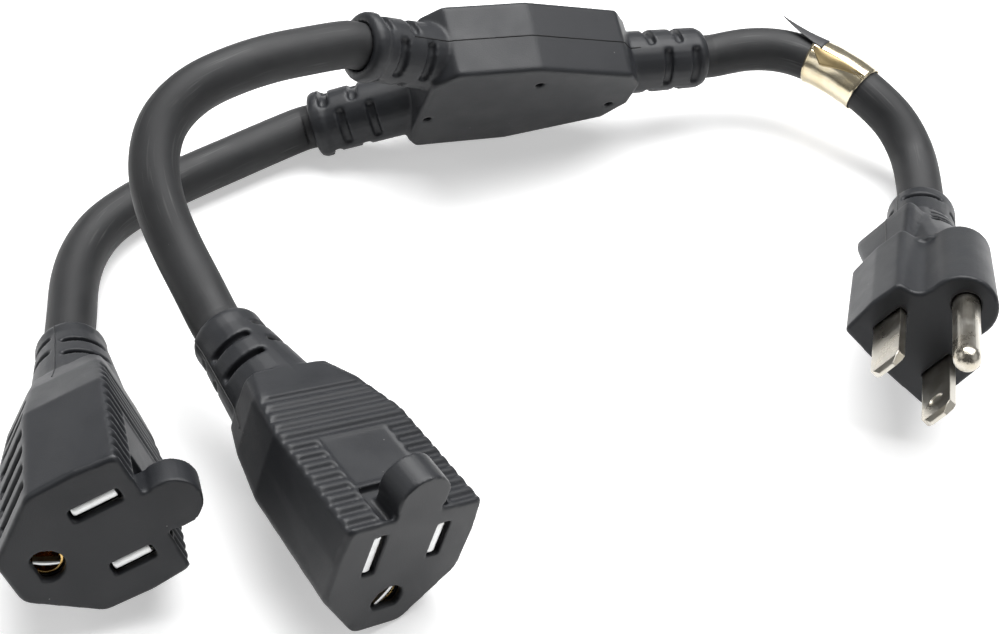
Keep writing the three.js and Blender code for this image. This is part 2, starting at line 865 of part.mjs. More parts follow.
function plugWire(index) {
  const roots = [
    [0, groundOffset],
    [-bladeCentre, 0],
    [bladeCentre, 0],
  ];
  const [tx, ty] = roots[index];
  const [wx, wy] = wirePlace(index);
  const from = plugCarrierBack - (index === 0 ? pinTail.length : bladeTail.length) - 0.3;
  const y = wy + plugBootOffset;
  return tube(
    [
      [tx, ty, from],
      [tx, ty, from - 1.2],
      [tx * 0.5 + wx * 0.5, ty * 0.5 + y * 0.5, from - 10],
      [wx, y, plugCordEnd + 5],
      [wx, y, plugCordEnd + 0.3],
    ],
    wireDiameter,
    8,
    10,
  );
}

function plug() {
  const group = new THREE.Group();
  group.add(meshOf(plugBody(), "plug_body", black));
  group.add(meshOf(plugCoreBlock(), "plug_pin_carrier", darkCore));
  group.add(meshOf(plugBlade(-bladeCentre), "plug_neutral_blade", nickel));
  group.add(meshOf(plugBlade(bladeCentre), "plug_line_blade", nickel));
  group.add(meshOf(groundPin(), "plug_ground_pin", nickel));
  group.add(meshOf(plugWire(0), "plug_ground_wire", wireFinish.ground));
  group.add(meshOf(plugWire(1), "plug_neutral_wire", wireFinish.neutral));
  group.add(meshOf(plugWire(2), "plug_line_wire", wireFinish.line));
  return group;
}

// Junction: long axis X, two forked boots at -X, one boot at +X, wide faces at +-Z
const junctionCore = { left: -15, right: 17, half: 10.5, depth: 2 * wireLayer + crimpThickness + 3.2 };

function junctionShape(inset) {
  const h = junctionHalfWidth - inset;
  const left = -junctionLeft + inset;
  const right = junctionRight - inset;
  const end = junctionRightEndHalf - inset;
  return roundedLoop([
    [left, -junctionLeftEndHalf - 1 + inset, 1.2],
    [-junctionLeft + junctionLeftBevel / 2, -h, 1.4],
    [0, -h + 0.2, 5],
    [junctionRight - junctionRightBevel - 1.2, -end, 1.4],
    [right, -end + 6, 1.2],
    [right, end - 4.6, 1.2],
    [junctionRight - junctionRightBevel, end, 1.4],
    [0, h - 0.2, 5],
    [-junctionLeft + junctionLeftBevel, h, 1.4],
    [left, junctionLeftEndHalf - inset, 1.2],
  ]);
}

const fork = THREE.MathUtils.degToRad(forkAngle);
const forkDirection = (side) => new THREE.Vector3(-Math.cos(fork), side * Math.sin(fork), 0);

// A boot's own frame: its Z runs out along the cord and its X stays square to the wide faces
function bootFrame(x, y, direction) {
  const up = new THREE.Vector3(0, 0, 1);
  const side = new THREE.Vector3().crossVectors(direction, up);
  return new THREE.Matrix4().makeBasis(up, side, direction).setPosition(x, y, 0);
}

const bootPlaces = {
  single: bootFrame(junctionRight - 0.6, 0, new THREE.Vector3(1, 0, 0)),
  near: bootFrame(-junctionLeft + 2.2, forkOffset - 0.9, forkDirection(1)),
  far: bootFrame(-junctionLeft + 2.2, -forkOffset + 0.9, forkDirection(-1)),
};

function junctionBoot(key) {
  const matrix = bootPlaces[key];
  const length = junctionBootLengths[key];
  const body = bootSolid({
    length,
    rootRadius: junctionBootRadius,
    tipRadius: junctionBootRadius - 0.2,
    lip: key === "single" ? 0 : 0.5,
    lipLength: 3.6,
    round: key === "single" ? 2 : 1.3,
  });
  const slots = flexSlots({
    first: length - 14.4,
    rows: 2,
    pitch: 6.5,
    width: 1.9,
    floor: slotFloor,
    reach: 12,
    gap: 7,
  });
  return { body: placed(body, matrix), slots: slots.map((one) => placed(one, matrix)) };
}

// How far past its boot's root each cord runs into the block
const cordInset = { single: 4.6, near: 2.4, far: 2.4 };

function junctionBore(key) {
  const reach = { single: 8.4, near: 7.4, far: 7.4 }[key];
  const rod = round(boreRadius, boreRadius, 0, 0, -reach, junctionBootLengths[key] + 1, 24);
  return placed(rod, bootPlaces[key]);
}

const bootKeys = ["single", "near", "far"];

function junctionBody() {
  const t = junctionThickness / 2;
  const block = loft([
    { z: -t, loop: junctionShape(0.5) },
    { z: -t + 0.6, loop: junctionShape(0) },
    { z: 0, loop: junctionShape(-0.2) },
    { z: t - 0.6, loop: junctionShape(0) },
    { z: t, loop: junctionShape(0.5) },
  ]);
  const boots = bootKeys.map(junctionBoot);
  const core = junctionCore;
  const d = core.depth / 2 + seatGap;
  const h = core.half + seatGap;
  const cavity = box(core.left - seatGap, core.right + seatGap, -h, h, -d, d);
  const moldMarks = [
    [1.6, 8.8],
    [20.8, -3.2],
    [-20.2, -2.9],
  ].map(([x, y]) => round(0.95, 0.95, x, y, t - 1.6, t + 1, 12));
  const outer = unite([block, ...boots.map((boot) => boot.body)]);
  return cut(outer, [
    ...boots.flatMap((boot) => boot.slots),
    cavity,
    ...moldMarks,
    ...bootKeys.map(junctionBore),
  ]);
}

const crimpCentre = 2.5;
const crimpLayers = { ground: wireLayer, line: 0, neutral: -wireLayer };

// Inner moulding, open at both ends, that keeps the three crimps one above another
function junctionCarrier() {
  const core = junctionCore;
  const d = core.depth / 2;
  const block = box(core.left, core.right, -core.half, core.half, -d, d);
  const tall = wireLayer + crimpThickness / 2 + seatGap;
  const wide = crimpWidth / 2 + seatGap;
  const flare = 2.4;
  const reach = core.half - 1.4;
  const left = crimpCentre - crimpLength / 2 - 1;
  const right = crimpCentre + crimpLength / 2 + 1;
  return cut(block, [
    box(left - 1, right + 1, -wide, wide, -tall, tall),
    box(core.left - 1, left, -reach, reach, -tall, tall),
    box(right, core.right + 1, -wide - flare, wide + flare, -tall, tall),
  ]);
}

function crimp(z) {
  return box(
    crimpCentre - crimpLength / 2,
    crimpCentre + crimpLength / 2,
    -crimpWidth / 2,
    crimpWidth / 2,
    z - crimpThickness / 2,
    z + crimpThickness / 2,
  );
}

const pointAt = (matrix, x, y, z) => new THREE.Vector3(x, y, z).applyMatrix4(matrix);

// A wire from one cord's end to its crimp, all in one layer
function junctionWire(key, layer) {
  const matrix = bootPlaces[key];
  const start = pointAt(matrix, layer, 0, -cordInset[key] - 0.3);
  const next = pointAt(matrix, layer, 0, -cordInset[key] - 1.6);
  const side = key === "single" ? 1 : -1;
  const y = { single: 0, near: 1.4, far: -1.4 }[key];
  const mouth = crimpCentre + side * (crimpLength / 2 + 0.3);
  return tube(
    [start.toArray(), next.toArray(), [mouth + side * 2.2, y, layer], [mouth, y, layer]],
    wireDiameter,
    8,
    8,
  );
}

// Where each body lies, in millimetres and degrees, measured from the middle of what they stand on
const places = {
  socket_a: { position: [-63.02, -71.68, 19.59], turn: [77.37, 17.06, 113.65] },
  socket_b: { position: [-16.80, -71.10, 18.82], turn: [93.12, 36.41, 160.51] },
  plug: { position: [70.56, -20.46, 20.35], turn: [75.55, -11.42, -39.24] },
  junction: { position: [-3.42, 59.62, 18.88], turn: [118.99, 14.82, -13.83] },
};

function placeMatrix({ position, turn }) {
  const angles = new THREE.Euler(...turn.map(THREE.MathUtils.degToRad), "XYZ");
  const spin = new THREE.Quaternion().setFromEuler(angles);
  return new THREE.Matrix4().compose(
    new THREE.Vector3(...position),
    spin,
    new THREE.Vector3(1, 1, 1),
  );
}

// The straight run of a cord through a boot: its hidden end, then its mouth, then just outside
function bootRun(matrix, hidden, mouth, outward) {
  return [hidden, (hidden + mouth) / 2, mouth, mouth + outward].map((z) =>
    pointAt(matrix, 0, 0, z).toArray(),
  );
}

const runOut = 3;

function junctionRun(key) {
  const matrix = placeMatrix(places.junction).multiply(bootPlaces[key]);
  return bootRun(matrix, -cordInset[key], junctionBootLengths[key], runOut);
}

function endRun(name, offset, hidden, mouth) {
  const matrix = placeMatrix(places[name]).multiply(new THREE.Matrix4().makeTranslation(0, offset, 0));
  return bootRun(matrix, hidden, -mouth, -runOut).reverse();
}

// Middle points of each cord between its two boots, chosen by hand
const routes = {
  plug: [
    [47.9, 76.7, 15.8],
    [55.5, 76.1, 16.3],
    [62.3, 72.5, 16.5],
    [68.2, 67.5, 16.3],
    [73.8, 62.4, 14.8],
    [79.2, 57.8, 11.6],
    [82.4, 51.6, 8.3],
    [83.0, 44.0, 6.9],
  ],
  socket_a: [
    [-55.3, 48.3, 5.3],
    [-61.8, 42.8, 5.2],
    [-68.3, 37.6, 4.9],
    [-74.6, 31.9, 4.9],
    [-80.3, 25.7, 4.8],
    [-84.7, 18.6, 4.9],
    [-86.8, 10.5, 4.8],
    [-86.8, 2.1, 4.9],
    [-85.5, -6.2, 5.1],
  ],
  socket_b: [
    [-43.4, 33.9, 39.7],
    [-50.0, 28.9, 41.0],
    [-56.9, 23.9, 41.1],
    [-63.5, 18.8, 39.9],
    [-68.2, 12.4, 37.1],
    [-69.1, 5.0, 33.3],
    [-67.1, -2.0, 29.0],
    [-63.4, -8.2, 24.6],
    [-59.1, -14.6, 21.4],
  ],
};

const cordPoints = {
  plug: [
    ...junctionRun("single"),
    ...routes.plug,
    ...endRun("plug", plugBootOffset, plugCordEnd, plugBootEnd),
  ],
  socket_a: [
    ...junctionRun("far"),
    ...routes.socket_a,
    ...endRun("socket_a", socketBootOffset, socketCordEnd, socketBootEnd),
  ],
  socket_b: [
    ...junctionRun("near"),
    ...routes.socket_b,
    ...endRun("socket_b", socketBootOffset, socketCordEnd, socketBootEnd),
  ],
};

function junction() {
  const group = new THREE.Group();
  group.add(meshOf(junctionBody(), "junction_body", black));
  group.add(meshOf(junctionCarrier(), "junction_crimp_carrier", darkCore));
  Object.entries(crimpLayers).forEach(([name, layer]) => {
    group.add(meshOf(crimp(layer), `junction_${name}_crimp`, nickel));
    bootKeys.forEach((key) => {
      group.add(meshOf(junctionWire(key, layer), `junction_${key}_${name}_wire`, wireFinish[name]));
    });
  });
  return group;
}

function laid(group, name) {
  const { position, turn } = places[name];
  group.position.set(...position);
  group.rotation.set(...turn.map(THREE.MathUtils.degToRad), "XYZ");
  return group;
}

// Label: a band of foil around the plug's cord, one corner of which stands off as a pointed tail
const labelSpan = { from: 0.42, to: 0.535 };
const labelThickness = 0.4;
const labelTail = { length: 9.6, lift: 1.6, turn: 40, root: 2.5 };

function ratingLabel() {
  const cord = curveThrough(cordPoints.plug);
  const steps = 6;
  const middle = [];
  for (let i = 0; i <= steps; i++) {
    middle.push(cord.getPointAt(labelSpan.from + ((labelSpan.to - labelSpan.from) * i) / steps));
  }
  const line = new THREE.CatmullRomCurve3(middle);
  const inner = cordDiameter + 2 * seatGap + 0.2;
  const overrun = [
    cord.getPointAt(labelSpan.from - 0.01).toArray(),
    ...middle.map((p) => p.toArray()),
    cord.getPointAt(labelSpan.to + 0.01).toArray(),
  ];
  const band = tubeAlong(line, inner + 2 * labelThickness, 20, steps).subtract(
    tube(overrun, inner, 20, steps + 2),
  );
  const start = middle[0];
  const along = line.getTangentAt(0);
  const up = new THREE.Vector3(0, 0, 1).addScaledVector(along, -along.z).normalize();
  const side = new THREE.Vector3().crossVectors(along, up);
  const radius = inner / 2 + labelThickness * 0.5;
  const at = (degrees, reach, back) => {
    const angle = THREE.MathUtils.degToRad(degrees);
    return start
      .clone()
      .addScaledVector(up, Math.cos(angle) * reach)
      .addScaledVector(side, Math.sin(angle) * reach)
      .addScaledVector(along, -back);
  };
  const from = -20;
  const corners = [
    at(from, radius, -labelTail.root),
    at(from + labelTail.turn, radius, -labelTail.root),
    at(from + 2, radius + labelTail.lift, labelTail.length),
  ];
  const away = at(from + labelTail.turn / 2, 1, 0).sub(start).multiplyScalar(labelThickness);
  const place = corners.flatMap((p) => [...p.toArray(), ...p.clone().add(away).toArray()]);
  const geometry = new THREE.BufferGeometry();
  geometry.setAttribute("position", new THREE.Float32BufferAttribute(place, 3));
  geometry.setIndex([0, 2, 4, 1, 5, 3, 0, 3, 2, 0, 1, 3, 2, 5, 4, 2, 3, 5, 4, 1, 0, 4, 5, 1]);
  return band.add(solidOf(geometry));
}

const part = new THREE.Group();
part.add(laid(plug(), "plug"));
part.add(laid(socket("socket_a"), "socket_a"));
part.add(laid(socket("socket_b"), "socket_b"));
part.add(laid(junction(), "junction"));
Object.entries(cordPoints).forEach(([name, points]) => {
  part.add(meshOf(tube(points, cordDiameter, 12, cordSteps), `${name}_cord`, black));
});

part.add(meshOf(ratingLabel(), "rating_label", foil));

export default part;
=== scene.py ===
import math
import bmesh
import bpy
from mathutils import Matrix, Vector
from mathutils.bvhtree import BVHTree


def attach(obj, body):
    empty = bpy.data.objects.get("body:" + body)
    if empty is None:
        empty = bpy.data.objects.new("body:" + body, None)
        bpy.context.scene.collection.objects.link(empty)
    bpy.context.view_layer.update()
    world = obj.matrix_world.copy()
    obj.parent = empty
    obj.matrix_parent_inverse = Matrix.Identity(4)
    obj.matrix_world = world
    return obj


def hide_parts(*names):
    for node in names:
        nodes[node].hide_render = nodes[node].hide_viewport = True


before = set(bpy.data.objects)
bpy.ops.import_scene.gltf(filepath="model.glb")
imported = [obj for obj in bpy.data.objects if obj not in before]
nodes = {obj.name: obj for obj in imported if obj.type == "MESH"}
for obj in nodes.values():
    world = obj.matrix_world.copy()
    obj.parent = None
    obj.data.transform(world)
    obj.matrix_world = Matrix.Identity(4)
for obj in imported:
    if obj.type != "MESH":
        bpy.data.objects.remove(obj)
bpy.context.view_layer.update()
scene = bpy.context.scene
mm = 0.001
print("frame loaded:", len(nodes), "nodes")

cameraSettings = {
    "place": (-3.843, -247.78, 236.003),
    "right": (0.99885, 0.03289, 0.03499),
    "up": (-0.04802, 0.68406, 0.72784),
    "lens": 63.0,
    "sensor": 36.0,
    "clipMetres": (0.01, 20.0),
}


def makeCamera(settings):
    data = bpy.data.cameras.new("studioCamera")
    data.lens = settings["lens"]
    data.sensor_width = settings["sensor"]
    data.clip_start, data.clip_end = settings["clipMetres"]
    camera = bpy.data.objects.new("studioCamera", data)
    right = Vector(settings["right"]).normalized()
    up = Vector(settings["up"])
    back = right.cross(up).normalized()
    up = back.cross(right)
    turn = Matrix((right, up, back)).transposed().to_4x4()
    camera.matrix_world = Matrix.Translation(Vector(settings["place"]) * mm) @ turn
    scene.collection.objects.link(camera)
    scene.camera = camera


makeCamera(cameraSettings)

places = {  # millimetres, and degrees about X, then Y, then Z of the piece itself
    "socket_a": {"at": (-63.02, -71.68, 19.59), "turn": (77.37, 17.06, 113.65)},
    "socket_b": {"at": (-16.80, -71.10, 18.82), "turn": (93.12, 36.41, 160.51)},
    "plug": {"at": (70.56, -20.46, 20.35), "turn": (75.55, -11.42, -39.24)},
    "junction": {"at": (-3.42, 59.62, 18.88), "turn": (118.99, 14.82, -13.83)},
}


def placeMatrix(name):
    turn = [math.radians(v) for v in places[name]["turn"]]
    spin = (
        Matrix.Rotation(turn[0], 4, "X")
        @ Matrix.Rotation(turn[1], 4, "Y")
        @ Matrix.Rotation(turn[2], 4, "Z")
    )
    return Matrix.Translation(Vector(places[name]["at"])) @ spin


forkAngle = math.radians(23)
forkAim = (-math.cos(forkAngle), math.sin(forkAngle))
boots = {  # where each cord leaves the junction, in the junction's own frame
    "single": {"root": (24.8, 0.0), "aim": (1.0, 0.0), "inset": 4.6, "length": 18.8},
    "near": {"root": (-20.2, 9.5), "aim": forkAim, "inset": 2.4, "length": 18.4},
    "far": {"root": (-20.2, -9.5), "aim": (forkAim[0], -forkAim[1]), "inset": 2.4, "length": 22.2},
}
endBoots = {  # the boots at the cords' far ends, along each moulding's own Z
    "plug": {"offset": 0.5, "inside": -38.8, "mouth": -56.8},
    "socket_a": {"offset": 3.2, "inside": -36.0, "mouth": -59.5},
    "socket_b": {"offset": 3.2, "inside": -36.0, "mouth": -59.5},
}
straightRun = 3.0  # a cord leaves each mouth straight for this far


def junctionRun(key):
    boot = boots[key]
    matrix = placeMatrix("junction")
    root, aim = Vector((*boot["root"], 0)), Vector((*boot["aim"], 0))
    middle = (boot["length"] - boot["inset"]) / 2
    reaches = [-boot["inset"], middle, boot["length"], boot["length"] + straightRun]
    return [matrix @ (root + aim * reach) for reach in reaches]


def endRun(name):
    boot = endBoots[name]
    matrix = placeMatrix(name)
    middle = (boot["mouth"] + boot["inside"]) / 2
    reaches = [boot["mouth"] - straightRun, boot["mouth"], middle, boot["inside"]]
    return [matrix @ Vector((0, boot["offset"], reach)) for reach in reaches]


cordSettings = {
    "diameter": 9.4,
    "sides": 72,
    "step": 0.9,
    "between": 24,
    "passes": 60,
    "waver": 0.03,
    "waverSize": 12.0,
}
routes = {
    "plug": [
        (47.9, 76.7, 15.8), (55.5, 76.1, 16.3), (62.3, 72.5, 16.5), (68.2, 67.5, 16.3),
        (73.8, 62.4, 14.8), (79.2, 57.8, 11.6), (82.4, 51.6, 8.3), (83.0, 44.0, 6.9),
    ],
    "socket_a": [
        (-55.3, 48.3, 5.3), (-61.8, 42.8, 5.2), (-68.3, 37.6, 4.9), (-74.6, 31.9, 4.9),
        (-80.3, 25.7, 4.8), (-84.7, 18.6, 4.9), (-86.8, 10.5, 4.8), (-86.8, 2.1, 4.9),
        (-85.5, -6.2, 5.1),
    ],
    "socket_b": [
        (-43.4, 33.9, 39.7), (-50.0, 28.9, 41.0), (-56.9, 23.9, 41.1), (-63.5, 18.8, 39.9),
        (-68.2, 12.4, 37.1), (-69.1, 5.0, 33.3), (-67.1, -2.0, 29.0), (-63.4, -8.2, 24.6),
        (-59.1, -14.6, 21.4),
    ],
}
cordEnds = {"plug": "single", "socket_a": "far", "socket_b": "near"}


# A smooth curve through the points, eased and then spaced evenly
def smoothPath(points, settings):
    ends = [points[0] * 2 - points[1]] + points + [points[-1] * 2 - points[-2]]
    dense = []
    for a, b, c, d in zip(ends, ends[1:], ends[2:], ends[3:]):
        for i in range(settings["between"]):
            t = i / settings["between"]
            bend = (2 * a - 5 * b + 4 * c - d) * t * t
            dense.append(0.5 * ((2 * b) + (c - a) * t + bend + (3 * b - a - 3 * c + d) * t ** 3))
    dense.append(points[-1].copy())
    for _ in range(settings["passes"]):
        kept = [p.copy() for p in dense]
        for i in range(1, len(dense) - 1):
            dense[i] = kept[i] * 0.5 + (kept[i - 1] + kept[i + 1]) * 0.25
    evened, left = [dense[0]], settings["step"]
    for a, b in zip(dense, dense[1:]):
        span = (b - a).length
        while left < span:
            evened.append(a.lerp(b, left / span))
            left += settings["step"]
        left -= span
    return evened + [dense[-1]]


cordPaths = {}
for cordName, route in routes.items():
    points = junctionRun(cordEnds[cordName]) + [Vector(p) for p in route] + endRun(cordName)
    cordPaths[cordName] = smoothPath(points, cordSettings)


def lineObject(name, corners, links):
    mesh = bpy.data.meshes.new(name)
    mesh.from_pydata([tuple(c) for c in corners], links, [])
    thing = bpy.data.objects.new(name, mesh)
    scene.collection.objects.link(thing)
    return thing


# The object's modifiers applied to its mesh
def bakeDown(thing):
    graph = bpy.context.evaluated_depsgraph_get()
    made = thing.evaluated_get(graph)
    mesh = bpy.data.meshes.new_from_object(made, preserve_all_data_layers=True, depsgraph=graph)
    thing.modifiers.clear()
    thing.data = mesh
    mesh.name = thing.name
    return thing


def setInput(modifier, tree, name, value):
    for item in tree.interface.items_tree:
        if item.item_type == "SOCKET" and item.in_out == "INPUT" and item.name == name:
            modifier[item.identifier] = value


# Sweeps a round section along a line and stores where each point is round and along it
def sweepTree():
    tree = bpy.data.node_groups.new("roundSweep", "GeometryNodeTree")
    face = tree.interface
    face.new_socket(name="Line", in_out="INPUT", socket_type="NodeSocketGeometry")
    for name, value in (("Radius", 0.0047), ("Waver", 0.0), ("Waver Size", 0.012)):
        socket = face.new_socket(name=name, in_out="INPUT", socket_type="NodeSocketFloat")
        socket.default_value = value
    sides = face.new_socket(name="Sides", in_out="INPUT", socket_type="NodeSocketInt")
    sides.default_value = 48
    face.new_socket(name="Finish", in_out="INPUT", socket_type="NodeSocketMaterial")
    face.new_socket(name="Tube", in_out="OUTPUT", socket_type="NodeSocketGeometry")
    add, link = tree.nodes.new, tree.links.new
    given, out = add("NodeGroupInput"), add("NodeGroupOutput")
    toCurve = add("GeometryNodeMeshToCurve")
    link(given.outputs["Line"], toCurve.inputs["Mesh"])
    keepLength = add("GeometryNodeCaptureAttribute")
    keepLength.capture_items.new("FLOAT", "Along")
    parameter = add("GeometryNodeSplineParameter")
    link(toCurve.outputs["Curve"], keepLength.inputs["Geometry"])
    link(parameter.outputs["Length"], keepLength.inputs[1])
    circle = add("GeometryNodeCurvePrimitiveCircle")
    link(given.outputs["Sides"], circle.inputs["Resolution"])
    link(given.outputs["Radius"], circle.inputs["Radius"])
    keepRound = add("GeometryNodeCaptureAttribute")
    keepRound.capture_items.new("VECTOR", "Round")
    position = add("GeometryNodeInputPosition")
    link(circle.outputs["Curve"], keepRound.inputs["Geometry"])
    link(position.outputs["Position"], keepRound.inputs[1])
    sweep = add("GeometryNodeCurveToMesh")
    sweep.inputs["Fill Caps"].default_value = True
    link(keepLength.outputs["Geometry"], sweep.inputs["Curve"])
    link(keepRound.outputs["Geometry"], sweep.inputs["Profile Curve"])
    split, join = add("ShaderNodeSeparateXYZ"), add("ShaderNodeCombineXYZ")
    link(keepRound.outputs[1], split.inputs["Vector"])
    link(split.outputs["X"], join.inputs["X"])
    link(split.outputs["Y"], join.inputs["Y"])
    link(keepLength.outputs[1], join.inputs["Z"])
    store = add("GeometryNodeStoreNamedAttribute")
    store.data_type = "FLOAT_VECTOR"
    store.domain = "POINT"
    store.inputs["Name"].default_value = "lay"
    link(sweep.outputs["Mesh"], store.inputs["Geometry"])
    link(join.outputs["Vector"], store.inputs["Value"])
    noise = add("ShaderNodeTexNoise")
    noise.inputs["Detail"].default_value = 1.0
    divide = add("ShaderNodeMath")
    divide.operation = "DIVIDE"
    divide.inputs[0].default_value = 1.0
    link(given.outputs["Waver Size"], divide.inputs[1])
    link(divide.outputs[0], noise.inputs["Scale"])
    centred = add("ShaderNodeVectorMath")
    centred.operation = "SUBTRACT"
    centred.inputs[1].default_value = (0.5, 0.5, 0.5)
    link(noise.outputs["Color"], centred.inputs[0])
    scaled = add("ShaderNodeVectorMath")
    scaled.operation = "SCALE"
    link(centred.outputs[0], scaled.inputs[0])
    link(given.outputs["Waver"], scaled.inputs["Scale"])
    move = add("GeometryNodeSetPosition")
    link(store.outputs["Geometry"], move.inputs["Geometry"])
    link(scaled.outputs[0], move.inputs["Offset"])
    smooth = add("GeometryNodeSetShadeSmooth")
    link(move.outputs["Geometry"], smooth.inputs["Geometry"])
    real = add("GeometryNodeRealizeInstances")
    link(smooth.outputs["Geometry"], real.inputs["Geometry"])
    paint = add("GeometryNodeSetMaterial")
    link(real.outputs["Geometry"], paint.inputs["Geometry"])
    link(given.outputs["Finish"], paint.inputs["Material"])
    link(paint.outputs["Geometry"], out.inputs["Tube"])
    return tree


roundSweep = sweepTree()


def sweepLine(thing, radius, finish, settings):
    modifier = thing.modifiers.new("sweep", "NODES")
    modifier.node_group = roundSweep
    values = {
        "Radius": radius * mm,
        "Sides": settings["sides"],
        "Waver": settings["waver"] * mm,
        "Waver Size": settings["waverSize"] * mm,
        "Finish": finish,
    }
    for name, value in values.items():
        setInput(modifier, roundSweep, name, value)
    return bakeDown(thing)


def shaderGroup(name, inputs, outputs):
    tree = bpy.data.node_groups.new(name, "ShaderNodeTree")
    for label, kind, value in inputs:
        socket = tree.interface.new_socket(name=label, in_out="INPUT", socket_type=kind)
        if value is not None:
            socket.default_value = value
    for label, kind in outputs:
        tree.interface.new_socket(name=label, in_out="OUTPUT", socket_type=kind)
    return tree, tree.nodes.new("NodeGroupInput"), tree.nodes.new("NodeGroupOutput")


def mathNode(tree, operation, first, second=None, clamp=False):
    node = tree.nodes.new("ShaderNodeMath")
    node.operation = operation
    node.use_clamp = clamp
    for i, value in enumerate((first, second)):
        if value is None:
            continue
        if isinstance(value, (int, float)):
            node.inputs[i].default_value = value
        else:
            tree.links.new(value, node.inputs[i])
    return node.outputs[0]


def noiseNode(tree, vector, scale, detail=2.0, rough=0.5):
    node = tree.nodes.new("ShaderNodeTexNoise")
    node.inputs["Detail"].default_value = detail
    node.inputs["Roughness"].default_value = rough
    tree.links.new(vector, node.inputs["Vector"])
    if isinstance(scale, (int, float)):
        node.inputs["Scale"].default_value = scale
    else:
        tree.links.new(scale, node.inputs["Scale"])
    return node.outputs["Fac"]


def rampNode(tree, value, low, high):
    node = tree.nodes.new("ShaderNodeMapRange")
    tree.links.new(value, node.inputs["Value"])
    node.inputs["From Min"].default_value = low
    node.inputs["From Max"].default_value = high
    return node.outputs["Result"]


# Fine eroded skin of a moulding tool: a height, and a slow mottle for colour and gloss
def mouldSkin():
    tree, given, out = shaderGroup(
        "mouldSkin",
        [
            ("Vector", "NodeSocketVector", None),
            ("Grain Scale", "NodeSocketFloat", 2600.0),
            ("Mottle Scale", "NodeSocketFloat", 90.0),
        ],
        [("Height", "NodeSocketFloat"), ("Mottle", "NodeSocketFloat")],
    )
    fine = noiseNode(tree, given.outputs["Vector"], given.outputs["Grain Scale"], 3.0, 0.6)
    slow = noiseNode(tree, given.outputs["Vector"], given.outputs["Mottle Scale"], 4.0, 0.6)
    tree.links.new(fine, out.inputs["Height"])
    tree.links.new(rampNode(tree, slow, 0.3, 0.7), out.inputs["Mottle"])
    return tree


# Scattered pale specks of dust and lint
def dustSpecks():
    tree, given, out = shaderGroup(
        "dustSpecks",
        [
            ("Vector", "NodeSocketVector", None),
            ("Spacing Scale", "NodeSocketFloat", 260.0),
            ("Size", "NodeSocketFloat", 0.07),
            ("Rareness", "NodeSocketFloat", 0.72),
        ],
        [("Mask", "NodeSocketFloat")],
    )
    cells = tree.nodes.new("ShaderNodeTexVoronoi")
    tree.links.new(given.outputs["Vector"], cells.inputs["Vector"])
    tree.links.new(given.outputs["Spacing Scale"], cells.inputs["Scale"])
    near = mathNode(tree, "LESS_THAN", cells.outputs["Distance"], given.outputs["Size"])
    split = tree.nodes.new("ShaderNodeSeparateColor")
    tree.links.new(cells.outputs["Color"], split.inputs["Color"])
    chosen = mathNode(tree, "GREATER_THAN", split.outputs[0], given.outputs["Rareness"])
    tree.links.new(mathNode(tree, "MULTIPLY", near, chosen), out.inputs["Mask"])
    return tree


# Thin rubbed lines, drawn out along one direction of the given coordinates
def scuffs():
    tree, given, out = shaderGroup(
        "scuffs",
        [
            ("Vector", "NodeSocketVector", None),
            ("Stretch", "NodeSocketVector", (1.0, 1.0, 0.06)),
            ("Scale", "NodeSocketFloat", 900.0),
            ("Share", "NodeSocketFloat", 0.62),
            ("Patch Scale", "NodeSocketFloat", 70.0),
            ("Sharpness", "NodeSocketFloat", 9.0),
        ],
        [("Mask", "NodeSocketFloat"), ("Height", "NodeSocketFloat")],
    )
    drawn = tree.nodes.new("ShaderNodeVectorMath")
    drawn.operation = "MULTIPLY"
    tree.links.new(given.outputs["Vector"], drawn.inputs[0])
    tree.links.new(given.outputs["Stretch"], drawn.inputs[1])
    lines = noiseNode(tree, drawn.outputs[0], given.outputs["Scale"], 2.0, 0.5)
    patches = noiseNode(tree, given.outputs["Vector"], given.outputs["Patch Scale"], 2.0, 0.5)
    over = mathNode(tree, "SUBTRACT", lines, given.outputs["Share"])
    sharp = mathNode(tree, "MULTIPLY", over, given.outputs["Sharpness"], clamp=True)
    where = rampNode(tree, patches, 0.45, 0.62)
    tree.links.new(mathNode(tree, "MULTIPLY", sharp, where, clamp=True), out.inputs["Mask"])
    tree.links.new(lines, out.inputs["Height"])
    return tree


groups = {"mouldSkin": mouldSkin(), "dustSpecks": dustSpecks(), "scuffs": scuffs()}


def useGroup(tree, name, vector, **values):
    node = tree.nodes.new("ShaderNodeGroup")
    node.node_tree = groups[name]
    tree.links.new(vector, node.inputs["Vector"])
    for key, value in values.items():
        node.inputs[key.replace("_", " ")].default_value = value
    return node.outputs


def startMaterial(name):
    material = bpy.data.materials.new(name)
    material.use_nodes = True
    tree = material.node_tree
    shader = tree.nodes["Principled BSDF"]
    return material, tree, shader


def mixColour(tree, factor, first, second):
    node = tree.nodes.new("ShaderNodeMix")
    node.data_type = "RGBA"
    if isinstance(factor, (int, float)):
        node.inputs[0].default_value = factor
    else:
        tree.links.new(factor, node.inputs[0])
    for socket, value in ((node.inputs[6], first), (node.inputs[7], second)):
        if isinstance(value, tuple):
            socket.default_value = (*value, 1.0)
        else:
            tree.links.new(value, socket)
    return node.outputs[2]


fineDepth = 0.0001
edgeSamples = 6


def bumpFrom(tree, height, strength, normal=None, distance=fineDepth):
    node = tree.nodes.new("ShaderNodeBump")
    node.inputs["Strength"].default_value = strength
    node.inputs["Distance"].default_value = distance
    tree.links.new(height, node.inputs["Height"])
    if normal is not None:
        tree.links.new(normal, node.inputs["Normal"])
    return node.outputs["Normal"]


def roundedEdge(tree, radius):
    node = tree.nodes.new("ShaderNodeBevel")
    node.samples = edgeSamples
    node.inputs["Radius"].default_value = radius
    return node.outputs["Normal"]


